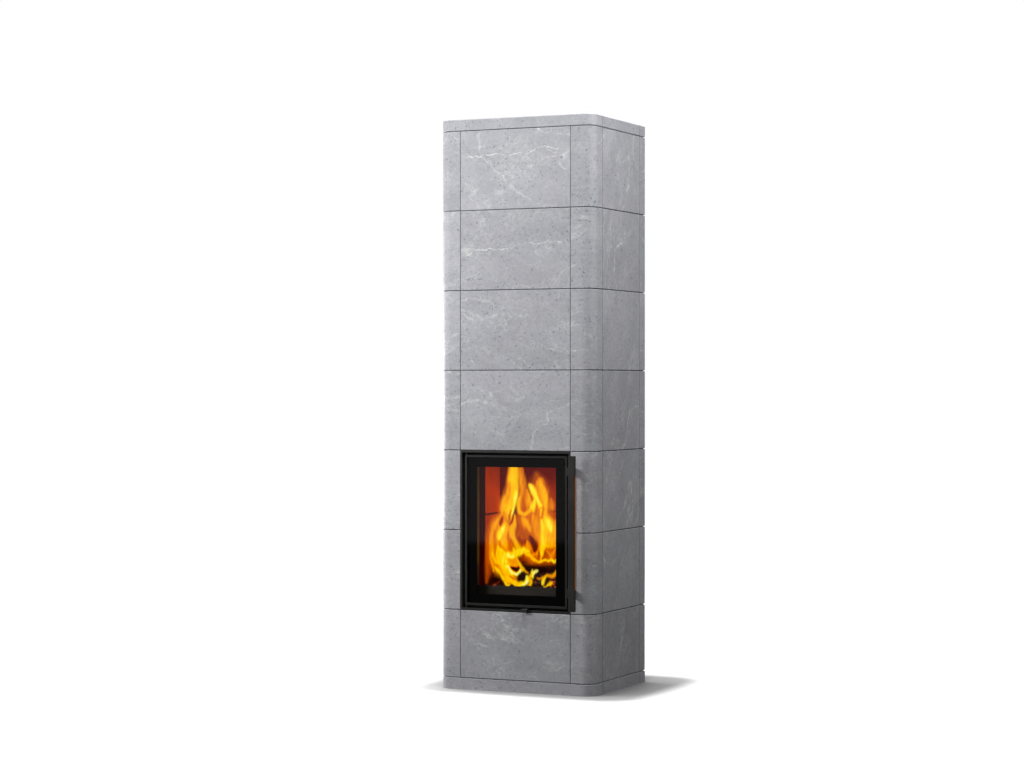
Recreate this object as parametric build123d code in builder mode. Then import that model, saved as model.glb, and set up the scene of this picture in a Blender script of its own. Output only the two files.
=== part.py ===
from build123d import *
from math import hypot
import os

# A tall soapstone masonry heater with a glazed fire door.
# Millimetres. The front faces -Y, +X is to the right, and z = 0 is the floor.

os.makedirs("parts", exist_ok=True)

# The heater as a whole
heater_width = 528
heater_depth = 425
course_height = 250
course_count = 7
base_level = 37
top_slab_height = 36
corner_radius = 40

# The outer stones
shell_thickness = 50
front_corner_leg = 76
rear_stone_thickness = 45
bed_joint = 2.5
head_joint = 1.6
joint_recess = 4
strip_end_gap = 0.4
arris = 1
top_edge_chamfer = 2
base_seam_setback = 223
door_courses = (1, 2)

# The core inside the shell
core_gap = 10
front_air_gap = 14
core_joint = 0.6
lining_thickness = 44
lining_ledge = 4
jamb_depth = 60
firebox_depth = 168
hearth_rise = 40
floor_slab_height = 40
lower_lining_height = 253
lower_back_height = 260
lintel_height = 38
back_lining = 60
divider_thickness = 44
rear_wall_thickness = 26
channel_floor_level = 60
throat_height = 90
throat_width = 240
throat_depth = 80
turn_over_height = 90
ceiling_height = 44
insulation_thickness = 17.25
upper_stone_rows = 4
rear_stone_rows = 6
channel_side_rows = 3

# The grate and the ash pan under it
grate_length = 210
grate_width = 130
grate_thickness = 12
grate_setback = 33
grate_clearance = 0.8
grate_rebate = 10
grate_slot_count = 9
grate_slot_width = 8
grate_slot_pitch = 20
grate_slot_length = 96
ash_pit_level = 110
pan_clearance = 3
pan_height = 80
pan_wall = 2
pan_rim = 2
seat_gap = 0.3
air_duct_width = 80
air_duct_height = 40
air_duct_drop = 10

# The flue outlet at the back
flue_radius = 73
flue_wall = 2
flue_level = 145
flue_stand_out = 38
flue_clearance = 0.5
rosette_radius = 98
rosette_thickness = 2

# The steel surround that the door shuts against
surround_side_gap = 1.3
surround_gap = 0.6
surround_lip = 5
recess_depth = 26
recess_plate = 4
sleeve_side_ledge = 30.5
sleeve_lower_ledge = 31.75
sleeve_upper_ledge = 31.15
sleeve_wall = 3
sleeve_flange = 20
surround_corner = 2

# The door
door_side_gap = 8
door_lower_gap = 8.75
door_upper_gap = 8.15
door_setback = 5.4
door_thickness = 13.6
door_rim = 6.5
door_corner = 3.5
door_flange_reach = 13
door_flange_thickness = 4
glass_setback = 2.5
glass_thickness = 4
glass_clearance = 0.5
border_side_width = 32.5
border_end_width = 29.5
border_thickness = 0.6
glass_seal_width = 9
gasket_width = 8
gasket_inset = 9.5
gasket_gap = 0.3
gasket_round = 2.5

# The hinge on the door's left edge
hinge_pin_radius = 2
hinge_clearance = 0.05
hinge_pin_reach = 14
hinge_hole_extra = 1
hinge_setback = 6.1
hinge_wall_engagement = 4.2
bush_radius = 4.2
bush_gap = 0.3

# The handle along the door's right edge
handle_stand_out = 38
handle_width = 20.5
handle_side_step = 22.2
handle_depth = 13
handle_plate = 5
handle_lower_overhang = 4
handle_upper_overhang = 2
handle_chamfer = 0.8
handle_lower_block = 66
handle_upper_block = 63
grip_depth = 12
grip_overhang = 1
grip_gap = 0.2
bracket_lower_offset = 53
bracket_upper_offset = 49
bracket_height = 26
bracket_thickness = 3.5
bracket_root_cover = 11.6
bracket_lip_clearance = 2.5
bracket_tab_inset = 1.5
handle_screw_radius = 2
handle_screw_clearance = 0.05
handle_screw_length = 5.5
handle_screw_head_radius = 3
handle_screw_head = 1.8
handle_screw_spacing = 15

# The roller catch behind the door's right edge
tongue_inset = 6.5
tongue_thickness = 3
tongue_height = 30
tongue_length = 24
tongue_slot_inner = 1.5
tongue_slot_outer = 2.5
tongue_slot_ends = 3
roller_radius = 4
roller_length = 12
roller_gap = 0.8
roller_pin_radius = 1.5
roller_clearance = 0.05
roller_end_gap = 0.3
catch_ear = 2
catch_ear_depth = 14
catch_ear_width = 10

# The air control under the door
lever_x = 36
lever_width = 19
lever_seat_gap = 0.75
lever_thickness = 4
lever_stand_out = 13
lever_tip = 3.5
lever_tip_drop = 4.5
lever_travel = 72
lever_slot_margin = 1
lever_slot_headroom = 1
shutter_half_length = 40
shutter_thickness = 2.5
shutter_height = 18
slide_gap = 0.3
air_hole_width = 16
air_hole_rise = 2.5
air_hole_height = 8
air_hole_centres = (-58, -36, -14)
guide_half_length = 90
guide_thickness = 3
guide_height = 4

# The log guard behind the glass
guard_height = 38
guard_thickness = 4
guard_setback = 39
guard_end_gap = 2.2
guard_foot = 14

# Planes and levels worked out from the sizes above
half_width = heater_width / 2
front = -heater_depth / 2
back = heater_depth / 2
levels = [base_level] + [course_height * (n + 1) for n in range(course_count)]
heater_top = levels[-1] + top_slab_height
shell_inner_x = half_width - shell_thickness
shell_inner_front = front + shell_thickness
rear_joint_y = back - rear_stone_thickness
shell_inner_back = rear_joint_y + head_joint / 2
front_joint_x = half_width - front_corner_leg
front_joint_y = front + front_corner_leg
base_top = base_level - bed_joint / 2
slab_bottom = levels[-1] + bed_joint / 2

hearth_level = levels[1] + hearth_rise
lining_joint_level = hearth_level + lower_lining_height
back_joint_level = hearth_level + lower_back_height
core_x = shell_inner_x - core_gap
core_front = shell_inner_front + front_air_gap
core_back = shell_inner_back - core_gap
firebox_x = core_x - lining_thickness
firebox_back = core_front + firebox_depth
channel_front = firebox_back + back_lining
channel_back = core_back - rear_wall_thickness
floor_slab_bottom = hearth_level - floor_slab_height
opening_top = levels[3]
throat_top = opening_top + throat_height
throat_front = core_front + (firebox_depth - throat_depth) / 2 + jamb_depth / 2
ceiling_top = slab_bottom - insulation_thickness
chamber_top_level = ceiling_top - ceiling_height
divider_top_level = chamber_top_level - turn_over_height

surround_x = front_joint_x + head_joint / 2 - surround_side_gap
surround_bottom = levels[1] + bed_joint / 2
surround_top = levels[3] - bed_joint / 2 - surround_gap
recess_x = surround_x - surround_lip
recess_bottom = surround_bottom + surround_lip
recess_top = surround_top - surround_lip
recess_front = front + recess_depth
recess_back = recess_front + recess_plate
sleeve_half_width = recess_x - sleeve_side_ledge
sleeve_bottom = recess_bottom + sleeve_lower_ledge
sleeve_top = recess_top - sleeve_upper_ledge

door_x = recess_x - door_side_gap
door_bottom = recess_bottom + door_lower_gap
door_top = recess_top - door_upper_gap
door_face = front + door_setback
door_back = door_face + door_thickness
flange_front = door_back - door_flange_thickness
rim_x = door_x - door_rim
rim_bottom = door_bottom + door_rim
rim_top = door_top - door_rim
flange_x = rim_x - door_flange_reach
flange_bottom = rim_bottom + door_flange_reach
flange_top = rim_top - door_flange_reach
glass_face = door_face + glass_setback
glass_back = glass_face + glass_thickness
glass_x = rim_x - glass_clearance
glass_bottom = rim_bottom + glass_clearance
glass_top = rim_top - glass_clearance
window_half_width = glass_x - border_side_width
window_bottom = glass_bottom + border_end_width
window_top = glass_top - border_end_width

handle_left_edge = door_x + handle_side_step
handle_bottom = door_bottom - handle_lower_overhang
handle_top = door_top + handle_upper_overhang
grip_bottom = handle_bottom + handle_lower_block
grip_top = handle_top - handle_upper_block
bracket_levels = (handle_bottom + bracket_lower_offset, handle_top - bracket_upper_offset)

tongue_left_edge = door_x - tongue_inset
catch_level = (door_bottom + door_top) / 2
lever_bottom = recess_bottom + lever_seat_gap
lever_top = lever_bottom + lever_thickness
lever_slot_top = lever_top + lever_slot_headroom
air_hole_bottom = lever_slot_top + air_hole_rise
guard_top = sleeve_bottom + guard_height

grate_front = core_front + grate_setback
grate_back = grate_front + grate_width
pit_x = grate_length / 2 - grate_rebate
pit_front = grate_front + grate_rebate
pit_back = grate_back - grate_rebate


def middle(span):
    """The middle of a pair of limits."""
    return (span[0] + span[1]) / 2


def length(span):
    """The distance between a pair of limits."""
    return span[1] - span[0]


def block(x_span, y_span, z_span, mode=Mode.ADD):
    """A rectangular block between its limits along x, y and z, in the part being built."""
    with BuildSketch(Plane.XY.offset(z_span[0])) as outline:
        with Locations((middle(x_span), middle(y_span))):
            Rectangle(length(x_span), length(y_span))
    extrude(outline.sketch, amount=length(z_span), mode=mode)


def front_plate(half, z_span, y_span, radius, mode=Mode.ADD):
    """A plate parallel to the heater's front, centred on x = 0, with rounded corners."""
    facing = Plane(origin=(0, y_span[0], middle(z_span)), x_dir=(1, 0, 0), z_dir=(0, 1, 0))
    with BuildSketch(facing) as outline:
        RectangleRounded(2 * half, length(z_span), radius)
    extrude(outline.sketch, amount=length(y_span), mode=mode)


def rounded_plan(inset):
    """The heater's plan, drawn in by inset: square at the back and rounded at the front."""
    x, y = half_width - inset, half_width - corner_radius
    front_y, back_y = front + inset, back - inset
    arc_y = front + corner_radius
    radius = corner_radius - inset
    with BuildSketch() as plan:
        with BuildLine():
            Polyline((-x, arc_y), (-x, back_y), (x, back_y), (x, arc_y))
            CenterArc((y, arc_y), radius, -90, 90)
            Line((y, front_y), (-y, front_y))
            CenterArc((-y, arc_y), radius, 180, 90)
        make_face()
    return plan.sketch


def over_outline(point):
    """True where a point stands on the heater's outer faces, its rounded corners included."""
    x, near = abs(point.X), 0.01
    centre_x, centre_y = half_width - corner_radius, front + corner_radius
    if x > centre_x and point.Y < centre_y:
        return abs(hypot(x - centre_x, point.Y - centre_y) - corner_radius) < near
    return min(abs(x - half_width), abs(point.Y - front), abs(point.Y - back)) < near


def is_arris(edge):
    """True for a stone's sharp outer edges: around its face, and not where a round meets a flat."""
    start, mid, end = edge @ 0, edge @ 0.5, edge @ 1
    if not (over_outline(start) and over_outline(mid) and over_outline(end)):
        return False
    upright = abs(start.Z - end.Z) > 1
    beside_round = abs(mid.Y - front) < 0.01 and abs(abs(mid.X) - half_width + corner_radius) < 0.01
    behind_round = abs(abs(mid.X) - half_width) < 0.01 and abs(mid.Y - front - corner_radius) < 0.01
    return not (upright and (beside_round or behind_round))


def course_span(course):
    """The bottom and top of the stones in one course, counted from 0 at the bottom."""
    return levels[course] + bed_joint / 2, levels[course + 1] - bed_joint / 2


def corner_stone(side, course):
    """An L-shaped front corner stone. side is -1 left or 1 right."""
    outer_x, inner_x = side * half_width, side * shell_inner_x
    leg_x = side * (front_joint_x + head_joint / 2)
    leg_y = front_joint_y - head_joint / 2
    z_span = course_span(course)
    with BuildSketch(Plane.XY.offset(z_span[0])) as plan:
        with BuildLine():
            Polyline(
                (outer_x, front), (outer_x, leg_y), (inner_x, leg_y),
                (inner_x, shell_inner_front), (leg_x, shell_inner_front), (leg_x, front), close=True,
            )
        make_face()
        fillet(plan.vertices().sort_by_distance((outer_x, front))[0], corner_radius)
    extrude(plan.sketch, amount=length(z_span))


def write(builder, name):
    """Label a finished piece and write its STEP file."""
    builder.part.label = name
    export_step(builder.part, f"parts/{name}.step")


# Base slabs: two stones side by side, one behind the other
base_seam = front + base_seam_setback
for name, y_span in (("base_slab_front", (front, base_seam)), ("base_slab_rear", (base_seam, back))):
    with BuildPart() as base_slab:
        with BuildSketch():
            add(rounded_plan(0))
            with Locations((0, middle(y_span))):
                Rectangle(heater_width, length(y_span), mode=Mode.INTERSECT)
        extrude(amount=base_top)
        upper_edges = base_slab.edges().filter_by(Plane.XY).group_by(Axis.Z)[-1]
        chamfer(upper_edges.filter_by(is_arris), arris)
    write(base_slab, name)

# Top slab
with BuildPart() as top_slab:
    with BuildSketch(Plane.XY.offset(slab_bottom)):
        add(rounded_plan(0))
    extrude(amount=heater_top - slab_bottom)
    rims = top_slab.edges().filter_by(Plane.XY).group_by(Axis.Z)
    chamfer(rims[-1], top_edge_chamfer)
    chamfer(top_slab.edges().filter_by(Plane.XY).group_by(Axis.Z)[0], arris)
write(top_slab, "top_slab")

# Front corner stones, one node each
for side, side_name in ((-1, "left"), (1, "right")):
    for course in range(course_count):
        with BuildPart() as front_corner:
            corner_stone(side, course)
            chamfer(front_corner.edges().filter_by(is_arris), arris)
        write(front_corner, f"corner_{side_name}_{course + 1}")

# Front panels below and above the door
panel_x = front_joint_x - head_joint / 2
for course in range(course_count):
    if course in door_courses:
        continue
    with BuildPart() as front_panel:
        block((-panel_x, panel_x), (front, shell_inner_front), course_span(course))
        chamfer(front_panel.edges().filter_by(is_arris), arris)
    write(front_panel, f"front_panel_{course + 1}")

# Side panels, one stone in each course
side_panel_y = (front_joint_y + head_joint / 2, rear_joint_y - head_joint / 2)
for side_name, x_span in (("left", (-half_width, -shell_inner_x)), ("right", (shell_inner_x, half_width))):
    with BuildPart() as side_panels:
        for course in range(course_count):
            block(x_span, side_panel_y, course_span(course))
        chamfer(side_panels.edges().filter_by(is_arris), arris)
    write(side_panels, f"side_panels_{side_name}")

# Rear corner stones, which close the ends of the side panels
with BuildPart() as rear_corners:
    for side in (-1, 1):
        corner_x = sorted((side * (front_joint_x + head_joint / 2), side * half_width))
        for course in range(course_count):
            block(corner_x, (shell_inner_back, back), course_span(course))
    chamfer(rear_corners.edges().filter_by(is_arris), arris)
write(rear_corners, "rear_corners")

# Rear panels, the lowest one bored for the flue collar
flue_plane = Plane(origin=(0, channel_back, flue_level), x_dir=(1, 0, 0), z_dir=(0, 1, 0))
flue_hole_radius = flue_radius + flue_wall + flue_clearance
with BuildPart() as rear_panels:
    for course in range(course_count):
        block((-panel_x, panel_x), (shell_inner_back, back), course_span(course))
    chamfer(rear_panels.edges().filter_by(is_arris), arris)
    with BuildSketch(flue_plane):
        Circle(flue_hole_radius)
    extrude(amount=back - channel_back, mode=Mode.SUBTRACT)
write(rear_panels, "rear_panels")

# Mortar, set back from the faces: a bed over each course and strips in the upright joints
bed_inner_x = shell_inner_x + joint_recess
opening_x = front_joint_x + head_joint / 2
strip_depth = (joint_recess, shell_thickness - joint_recess)
half_joint = head_joint / 2
with BuildPart() as mortar_joints:
    for number, level in enumerate(levels):
        with BuildSketch(Plane.XY.offset(level - bed_joint / 2)):
            add(rounded_plan(joint_recess))
            bed_inner_y = (shell_inner_front - joint_recess, shell_inner_back + joint_recess)
            with Locations((0, middle(bed_inner_y))):
                Rectangle(2 * bed_inner_x, length(bed_inner_y), mode=Mode.SUBTRACT)
            if number == door_courses[-1]:
                with Locations((0, front + shell_thickness / 2)):
                    Rectangle(2 * opening_x, shell_thickness, mode=Mode.SUBTRACT)
        extrude(amount=bed_joint)
    for course in range(course_count):
        low, high = course_span(course)
        z_span = (low + strip_end_gap, high - strip_end_gap)
        for side in (-1, 1):
            across = (side * front_joint_x - half_joint, side * front_joint_x + half_joint)
            block(across, (shell_inner_back + joint_recess, back - joint_recess), z_span)
            if course not in door_courses:
                block(across, (front + strip_depth[0], front + strip_depth[1]), z_span)
            inward = sorted(side * (half_width - inset) for inset in strip_depth)
            for joint_y in (front_joint_y, rear_joint_y):
                block(inward, (joint_y - half_joint, joint_y + half_joint), z_span)
write(mortar_joints, "mortar_joints")

# Plinth stones around the ash pit, with the air duct through the front one
with BuildPart() as plinth_blocks:
    tall = (base_top, floor_slab_bottom)
    for side in (-1, 1):
        block(sorted((side * core_x, side * (pit_x + core_joint))), (core_front, channel_front), tall)
    block((-pit_x, pit_x), (core_front, pit_front - core_joint), tall)
    block((-pit_x, pit_x), (pit_back + core_joint, channel_front), tall)
    block((-pit_x, pit_x), (pit_front, pit_back), (base_top, ash_pit_level))
    duct_top = floor_slab_bottom - air_duct_drop
    duct_z = (duct_top - air_duct_height, duct_top)
    duct_x = (-air_duct_width / 2, air_duct_width / 2)
    block(duct_x, (core_front, pit_front), duct_z, Mode.SUBTRACT)
write(plinth_blocks, "plinth_blocks")

# Firebox floor, rebated for the grate
with BuildPart() as firebox_floor:
    block((-core_x, core_x), (core_front, channel_front), (floor_slab_bottom, hearth_level))
    seat_x = grate_length / 2 + grate_clearance
    seat_y = (grate_front - grate_clearance, grate_back + grate_clearance)
    block((-seat_x, seat_x), seat_y, (hearth_level - grate_thickness, hearth_level), Mode.SUBTRACT)
    block((-pit_x, pit_x), (pit_front, pit_back), (floor_slab_bottom, hearth_level), Mode.SUBTRACT)
write(firebox_floor, "firebox_floor")

# Firebox jambs and the lintel across them
jamb_back = core_front + jamb_depth
lintel_bottom = opening_top - lintel_height
with BuildPart() as firebox_front:
    for side in (-1, 1):
        jamb_x = sorted((side * firebox_x, side * core_x))
        block(jamb_x, (core_front, jamb_back), (hearth_level, lintel_bottom - core_joint))
    block((-core_x, core_x), (core_front, jamb_back), (lintel_bottom, opening_top))
write(firebox_front, "firebox_front_stones")

# Firebox side linings: the lower stones are thicker and leave a small ledge
lower_lining = (hearth_level, lining_joint_level)
upper_lining = (lining_joint_level + core_joint, opening_top)
with BuildPart() as firebox_sides:
    lining_y = (jamb_back + core_joint, firebox_back)
    for side in (-1, 1):
        block(sorted((side * (firebox_x - lining_ledge), side * core_x)), lining_y, lower_lining)
        block(sorted((side * firebox_x, side * core_x)), lining_y, upper_lining)
write(firebox_sides, "firebox_side_linings")

# Firebox back linings: two stones wide and two high
with BuildPart() as firebox_back_linings:
    for side in (-1, 1):
        half = sorted((side * core_joint / 2, side * core_x))
        for z_span in ((hearth_level, back_joint_level), (back_joint_level + core_joint, opening_top)):
            block(half, (firebox_back + core_joint, channel_front), z_span)
write(firebox_back_linings, "firebox_back_linings")

# Throat stones that narrow the way up out of the firebox
with BuildPart() as throat_blocks:
    z_span = (opening_top, throat_top)
    throat_back = throat_front + throat_depth
    block((-core_x, core_x), (core_front, throat_front - core_joint), z_span)
    block((-core_x, core_x), (throat_back + core_joint, channel_front), z_span)
    for side in (-1, 1):
        block(sorted((side * throat_width / 2, side * core_x)), (throat_front, throat_back), z_span)
write(throat_blocks, "throat_blocks")

# Upper heat store: walls and the divider in front of the rear channel
with BuildPart() as upper_core:
    wall_row = (chamber_top_level - throat_top) / upper_stone_rows
    divider_row = (divider_top_level - throat_top) / upper_stone_rows
    inner_x = firebox_x - core_joint
    for row in range(upper_stone_rows):
        low = throat_top + row * wall_row
        wall_z = (low, low + wall_row - core_joint)
        for side in (-1, 1):
            block(sorted((side * firebox_x, side * core_x)), (core_front, core_back), wall_z)
        block((-inner_x, inner_x), (core_front, core_front + lining_thickness), wall_z)
        low = throat_top + row * divider_row
        divider_z = (low, low + divider_row - core_joint)
        block((-inner_x, inner_x), (channel_front - divider_thickness, channel_front), divider_z)
write(upper_core, "upper_core_stones")

# Rear channel stones, the lowest one bored for the flue collar
with BuildPart() as rear_core:
    side_row = (throat_top - base_top) / channel_side_rows
    for side in (-1, 1):
        for row in range(channel_side_rows):
            low = base_top + row * side_row
            x_span = sorted((side * firebox_x, side * core_x))
            block(x_span, (channel_front + core_joint, core_back), (low, low + side_row - core_joint))
    block((-inner_x, inner_x), (channel_back, core_back), (base_top, floor_slab_bottom - core_joint))
    block((-inner_x, inner_x), (channel_front + core_joint, channel_back - core_joint),
          (base_top, channel_floor_level))
    rear_row = (chamber_top_level - floor_slab_bottom) / rear_stone_rows
    for row in range(rear_stone_rows):
        low = floor_slab_bottom + row * rear_row
        block((-inner_x, inner_x), (channel_back, core_back), (low, low + rear_row - core_joint))
    with BuildSketch(flue_plane):
        Circle(flue_hole_radius)
    extrude(amount=core_back - channel_back, mode=Mode.SUBTRACT)
write(rear_core, "rear_core_stones")

# Core ceiling and the board between it and the top slab
with BuildPart() as core_ceiling:
    block((-core_x, core_x), (core_front, core_back), (chamber_top_level, ceiling_top))
write(core_ceiling, "core_ceiling")

with BuildPart() as insulation_board:
    block((-core_x, core_x), (core_front, core_back), (ceiling_top, slab_bottom))
write(insulation_board, "insulation_board")

# Flue collar with its rosette on the rear panel
with BuildPart() as flue_collar:
    with BuildSketch(flue_plane):
        Circle(flue_radius + flue_wall)
        Circle(flue_radius, mode=Mode.SUBTRACT)
    extrude(amount=back + flue_stand_out - channel_back)
    with BuildSketch(flue_plane.offset(back - channel_back)):
        Circle(rosette_radius)
        Circle(flue_radius, mode=Mode.SUBTRACT)
    extrude(amount=rosette_thickness)
write(flue_collar, "flue_collar")

# Grate: a slotted plate in the floor's rebate
with BuildPart() as grate:
    grate_z = (hearth_level - grate_thickness, hearth_level)
    block((-grate_length / 2, grate_length / 2), (grate_front, grate_back), grate_z)
    with BuildSketch(Plane.XY.offset(grate_z[0])):
        with Locations((0, middle((grate_front, grate_back)))):
            with GridLocations(grate_slot_pitch, grate_width, grate_slot_count, 1):
                SlotOverall(grate_slot_length, grate_slot_width, rotation=90)
    extrude(amount=grate_thickness, mode=Mode.SUBTRACT)
write(grate, "grate")

# Ash pan under the grate, an open box with a turned rim
with BuildPart() as ash_pan:
    pan_x = pit_x - pan_clearance
    pan_y = (pit_front + pan_clearance, pit_back - pan_clearance)
    pan_z = (ash_pit_level + seat_gap, ash_pit_level + seat_gap + pan_height)
    rim_inset = pan_rim
    block((-pan_x + rim_inset, pan_x - rim_inset), (pan_y[0] + rim_inset, pan_y[1] - rim_inset), pan_z)
    block((-pan_x, pan_x), pan_y, (pan_z[1] - pan_wall, pan_z[1]))
    inside = pan_rim + pan_wall
    block((-pan_x + inside, pan_x - inside), (pan_y[0] + inside, pan_y[1] - inside),
          (pan_z[0] + pan_wall, pan_z[1]), Mode.SUBTRACT)
write(ash_pan, "ash_pan")

# Surround: lip, recess plate and the sleeve that reaches back to the core
pivot = (-door_x + door_rim / 2, door_face + hinge_setback)
pin_bore = hinge_pin_radius + hinge_clearance
with BuildPart() as surround:
    whole_z = (surround_bottom, surround_top)
    recess_z = (recess_bottom, recess_top)
    sleeve_z = (sleeve_bottom, sleeve_top)
    outer_sleeve_z = (sleeve_bottom - sleeve_wall, sleeve_top + sleeve_wall)
    flange_z = (outer_sleeve_z[0] - sleeve_flange, outer_sleeve_z[1] + sleeve_flange)
    outer_sleeve = sleeve_half_width + sleeve_wall
    front_plate(surround_x, whole_z, (front, shell_inner_front), surround_corner)
    front_plate(recess_x, recess_z, (front, shell_inner_front), surround_corner, Mode.SUBTRACT)
    front_plate(recess_x, recess_z, (recess_front, recess_back), surround_corner)
    front_plate(outer_sleeve, outer_sleeve_z, (recess_back, core_front), surround_corner)
    front_plate(outer_sleeve + sleeve_flange, flange_z, (core_front - sleeve_wall, core_front), surround_corner)
    front_plate(sleeve_half_width, sleeve_z, (recess_front, core_front), surround_corner, Mode.SUBTRACT)
    slot_x = (lever_x - lever_travel - lever_width / 2 - lever_slot_margin,
              lever_x + lever_width / 2 + lever_slot_margin)
    block(slot_x, (recess_front, recess_back), (recess_bottom, lever_slot_top), Mode.SUBTRACT)
    for centre in air_hole_centres:
        hole_x = (centre - air_hole_width / 2, centre + air_hole_width / 2)
        hole_z = (air_hole_bottom, air_hole_bottom + air_hole_height)
        block(hole_x, (recess_front, recess_back), hole_z, Mode.SUBTRACT)
    tongue_slot_x = (tongue_left_edge - tongue_slot_inner, tongue_left_edge + tongue_thickness + tongue_slot_outer)
    tongue_slot_z = (catch_level - tongue_height / 2 - tongue_slot_ends,
                     catch_level + tongue_height / 2 + tongue_slot_ends)
    block(tongue_slot_x, (recess_front, recess_back), tongue_slot_z, Mode.SUBTRACT)
    with BuildSketch(Plane.XY.offset(surround_bottom)):
        with Locations(pivot):
            Circle(pin_bore)
    extrude(amount=surround_lip, mode=Mode.SUBTRACT)
    with BuildSketch(Plane.XY.offset(recess_top)):
        with Locations(pivot):
            Circle(pin_bore)
    extrude(amount=surround_lip, mode=Mode.SUBTRACT)
write(surround, "door_surround")

# Door frame: a rim around the glass and a flange behind it, drilled for the hinge and the handle
bracket_hole_y = (door_face + flange_front) / 2
with BuildPart() as door_frame:
    front_plate(door_x, (door_bottom, door_top), (door_face, door_back), door_corner)
    front_plate(rim_x, (rim_bottom, rim_top), (door_face, flange_front), surround_corner, Mode.SUBTRACT)
    front_plate(flange_x, (flange_bottom, flange_top), (flange_front, door_back), surround_corner, Mode.SUBTRACT)
    hinge_hole = hinge_pin_reach + hinge_hole_extra
    for low in (door_bottom, door_top - hinge_hole):
        with BuildSketch(Plane.XY.offset(low)):
            with Locations(pivot):
                Circle(pin_bore)
        extrude(amount=hinge_hole, mode=Mode.SUBTRACT)
    for level in bracket_levels:
        for shift in (-handle_screw_spacing / 2, handle_screw_spacing / 2):
            drill = Plane(origin=(door_x, bracket_hole_y, level + shift), x_dir=(0, 1, 0), z_dir=(-1, 0, 0))
            with BuildSketch(drill):
                Circle(handle_screw_radius + handle_screw_clearance)
            extrude(amount=door_rim, mode=Mode.SUBTRACT)
write(door_frame, "door_frame")

# Glass pane, the black border behind it and the seal it is bedded on
with BuildPart() as door_glass:
    front_plate(glass_x, (glass_bottom, glass_top), (glass_face, glass_back), surround_corner)
write(door_glass, "door_glass")

border_back = glass_back + border_thickness
with BuildPart() as glass_border:
    front_plate(glass_x, (glass_bottom, glass_top), (glass_back, border_back), surround_corner)
    front_plate(window_half_width, (window_bottom, window_top), (glass_back, border_back),
                surround_corner, Mode.SUBTRACT)
write(glass_border, "glass_border")

seal_x = flange_x + glass_seal_width
with BuildPart() as glass_seal:
    seal_z = (flange_bottom - glass_seal_width, flange_top + glass_seal_width)
    front_plate(seal_x, seal_z, (border_back, flange_front), surround_corner)
    front_plate(flange_x, (flange_bottom, flange_top), (border_back, flange_front), surround_corner, Mode.SUBTRACT)
write(glass_seal, "glass_seal")

# Rope gasket on the back of the door
with BuildPart() as door_gasket:
    gasket_y = (door_back, recess_front - gasket_gap)
    gasket_x = door_x - gasket_inset
    gasket_z = (door_bottom + gasket_inset, door_top - gasket_inset)
    inner_z = (gasket_z[0] + gasket_width, gasket_z[1] - gasket_width)
    front_plate(gasket_x, gasket_z, gasket_y, door_corner + gasket_width)
    front_plate(gasket_x - gasket_width, inner_z, gasket_y, door_corner, Mode.SUBTRACT)
    fillet(door_gasket.faces().sort_by(Axis.Y)[-1].edges(), gasket_round)
write(door_gasket, "door_gasket")

# Hinge pins through the lip, and the bushes that carry the door on them
pin_spans = (
    (recess_bottom - hinge_wall_engagement, door_bottom + hinge_pin_reach),
    (door_top - hinge_pin_reach, recess_top + hinge_wall_engagement),
)
with BuildPart() as hinge_pins:
    for low, high in pin_spans:
        with BuildSketch(Plane.XY.offset(low)):
            with Locations(pivot):
                Circle(hinge_pin_radius)
        extrude(amount=high - low)
write(hinge_pins, "hinge_pins")

with BuildPart() as hinge_bushes:
    for low, high in ((recess_bottom, door_bottom - bush_gap), (door_top + bush_gap, recess_top)):
        with BuildSketch(Plane.XY.offset(low)):
            with Locations(pivot):
                Circle(bush_radius)
                Circle(pin_bore, mode=Mode.SUBTRACT)
        extrude(amount=high - low)
write(hinge_bushes, "hinge_bushes")

# Handle: a bar with thick ends and the grip strip let in behind it
handle_x = (handle_left_edge, handle_left_edge + handle_width)
handle_face = front - handle_stand_out
handle_back = handle_face + handle_depth
with BuildPart() as handle_bar:
    block(handle_x, (handle_face, handle_back), (handle_bottom, handle_top))
    block(handle_x, (handle_face + handle_plate, handle_back), (grip_bottom, grip_top), Mode.SUBTRACT)
    chamfer(handle_bar.faces().sort_by(Axis.Y)[0].edges(), handle_chamfer)
write(handle_bar, "handle_bar")

with BuildPart() as handle_grip:
    block((handle_x[0], handle_x[1] + grip_overhang),
          (handle_face + handle_plate, handle_face + handle_plate + grip_depth),
          (grip_bottom + grip_gap, grip_top - grip_gap))
    chamfer(handle_grip.faces().sort_by(Axis.Y)[-1].edges(), handle_chamfer)
write(handle_grip, "handle_grip")

# Handle brackets: out from the door's edge, across the lip and forward to the bar
step_back = front - bracket_lip_clearance
step_face = step_back - bracket_thickness
tab_x = (handle_x[0] + bracket_tab_inset, handle_x[0] + bracket_tab_inset + bracket_thickness)
root_x = (door_x, door_x + bracket_thickness)
with BuildPart() as handle_brackets:
    for level in bracket_levels:
        z_span = (level - bracket_height / 2, level + bracket_height / 2)
        block(root_x, (step_face, door_face + bracket_root_cover), z_span)
        block((root_x[0], tab_x[1]), (step_face, step_back), z_span)
        block(tab_x, (handle_back, step_back), z_span)
        for shift in (-handle_screw_spacing / 2, handle_screw_spacing / 2):
            drill = Plane(origin=(door_x, bracket_hole_y, level + shift), x_dir=(0, 1, 0), z_dir=(1, 0, 0))
            with BuildSketch(drill):
                Circle(handle_screw_radius + handle_screw_clearance)
            extrude(amount=bracket_thickness, mode=Mode.SUBTRACT)
write(handle_brackets, "handle_brackets")

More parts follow.
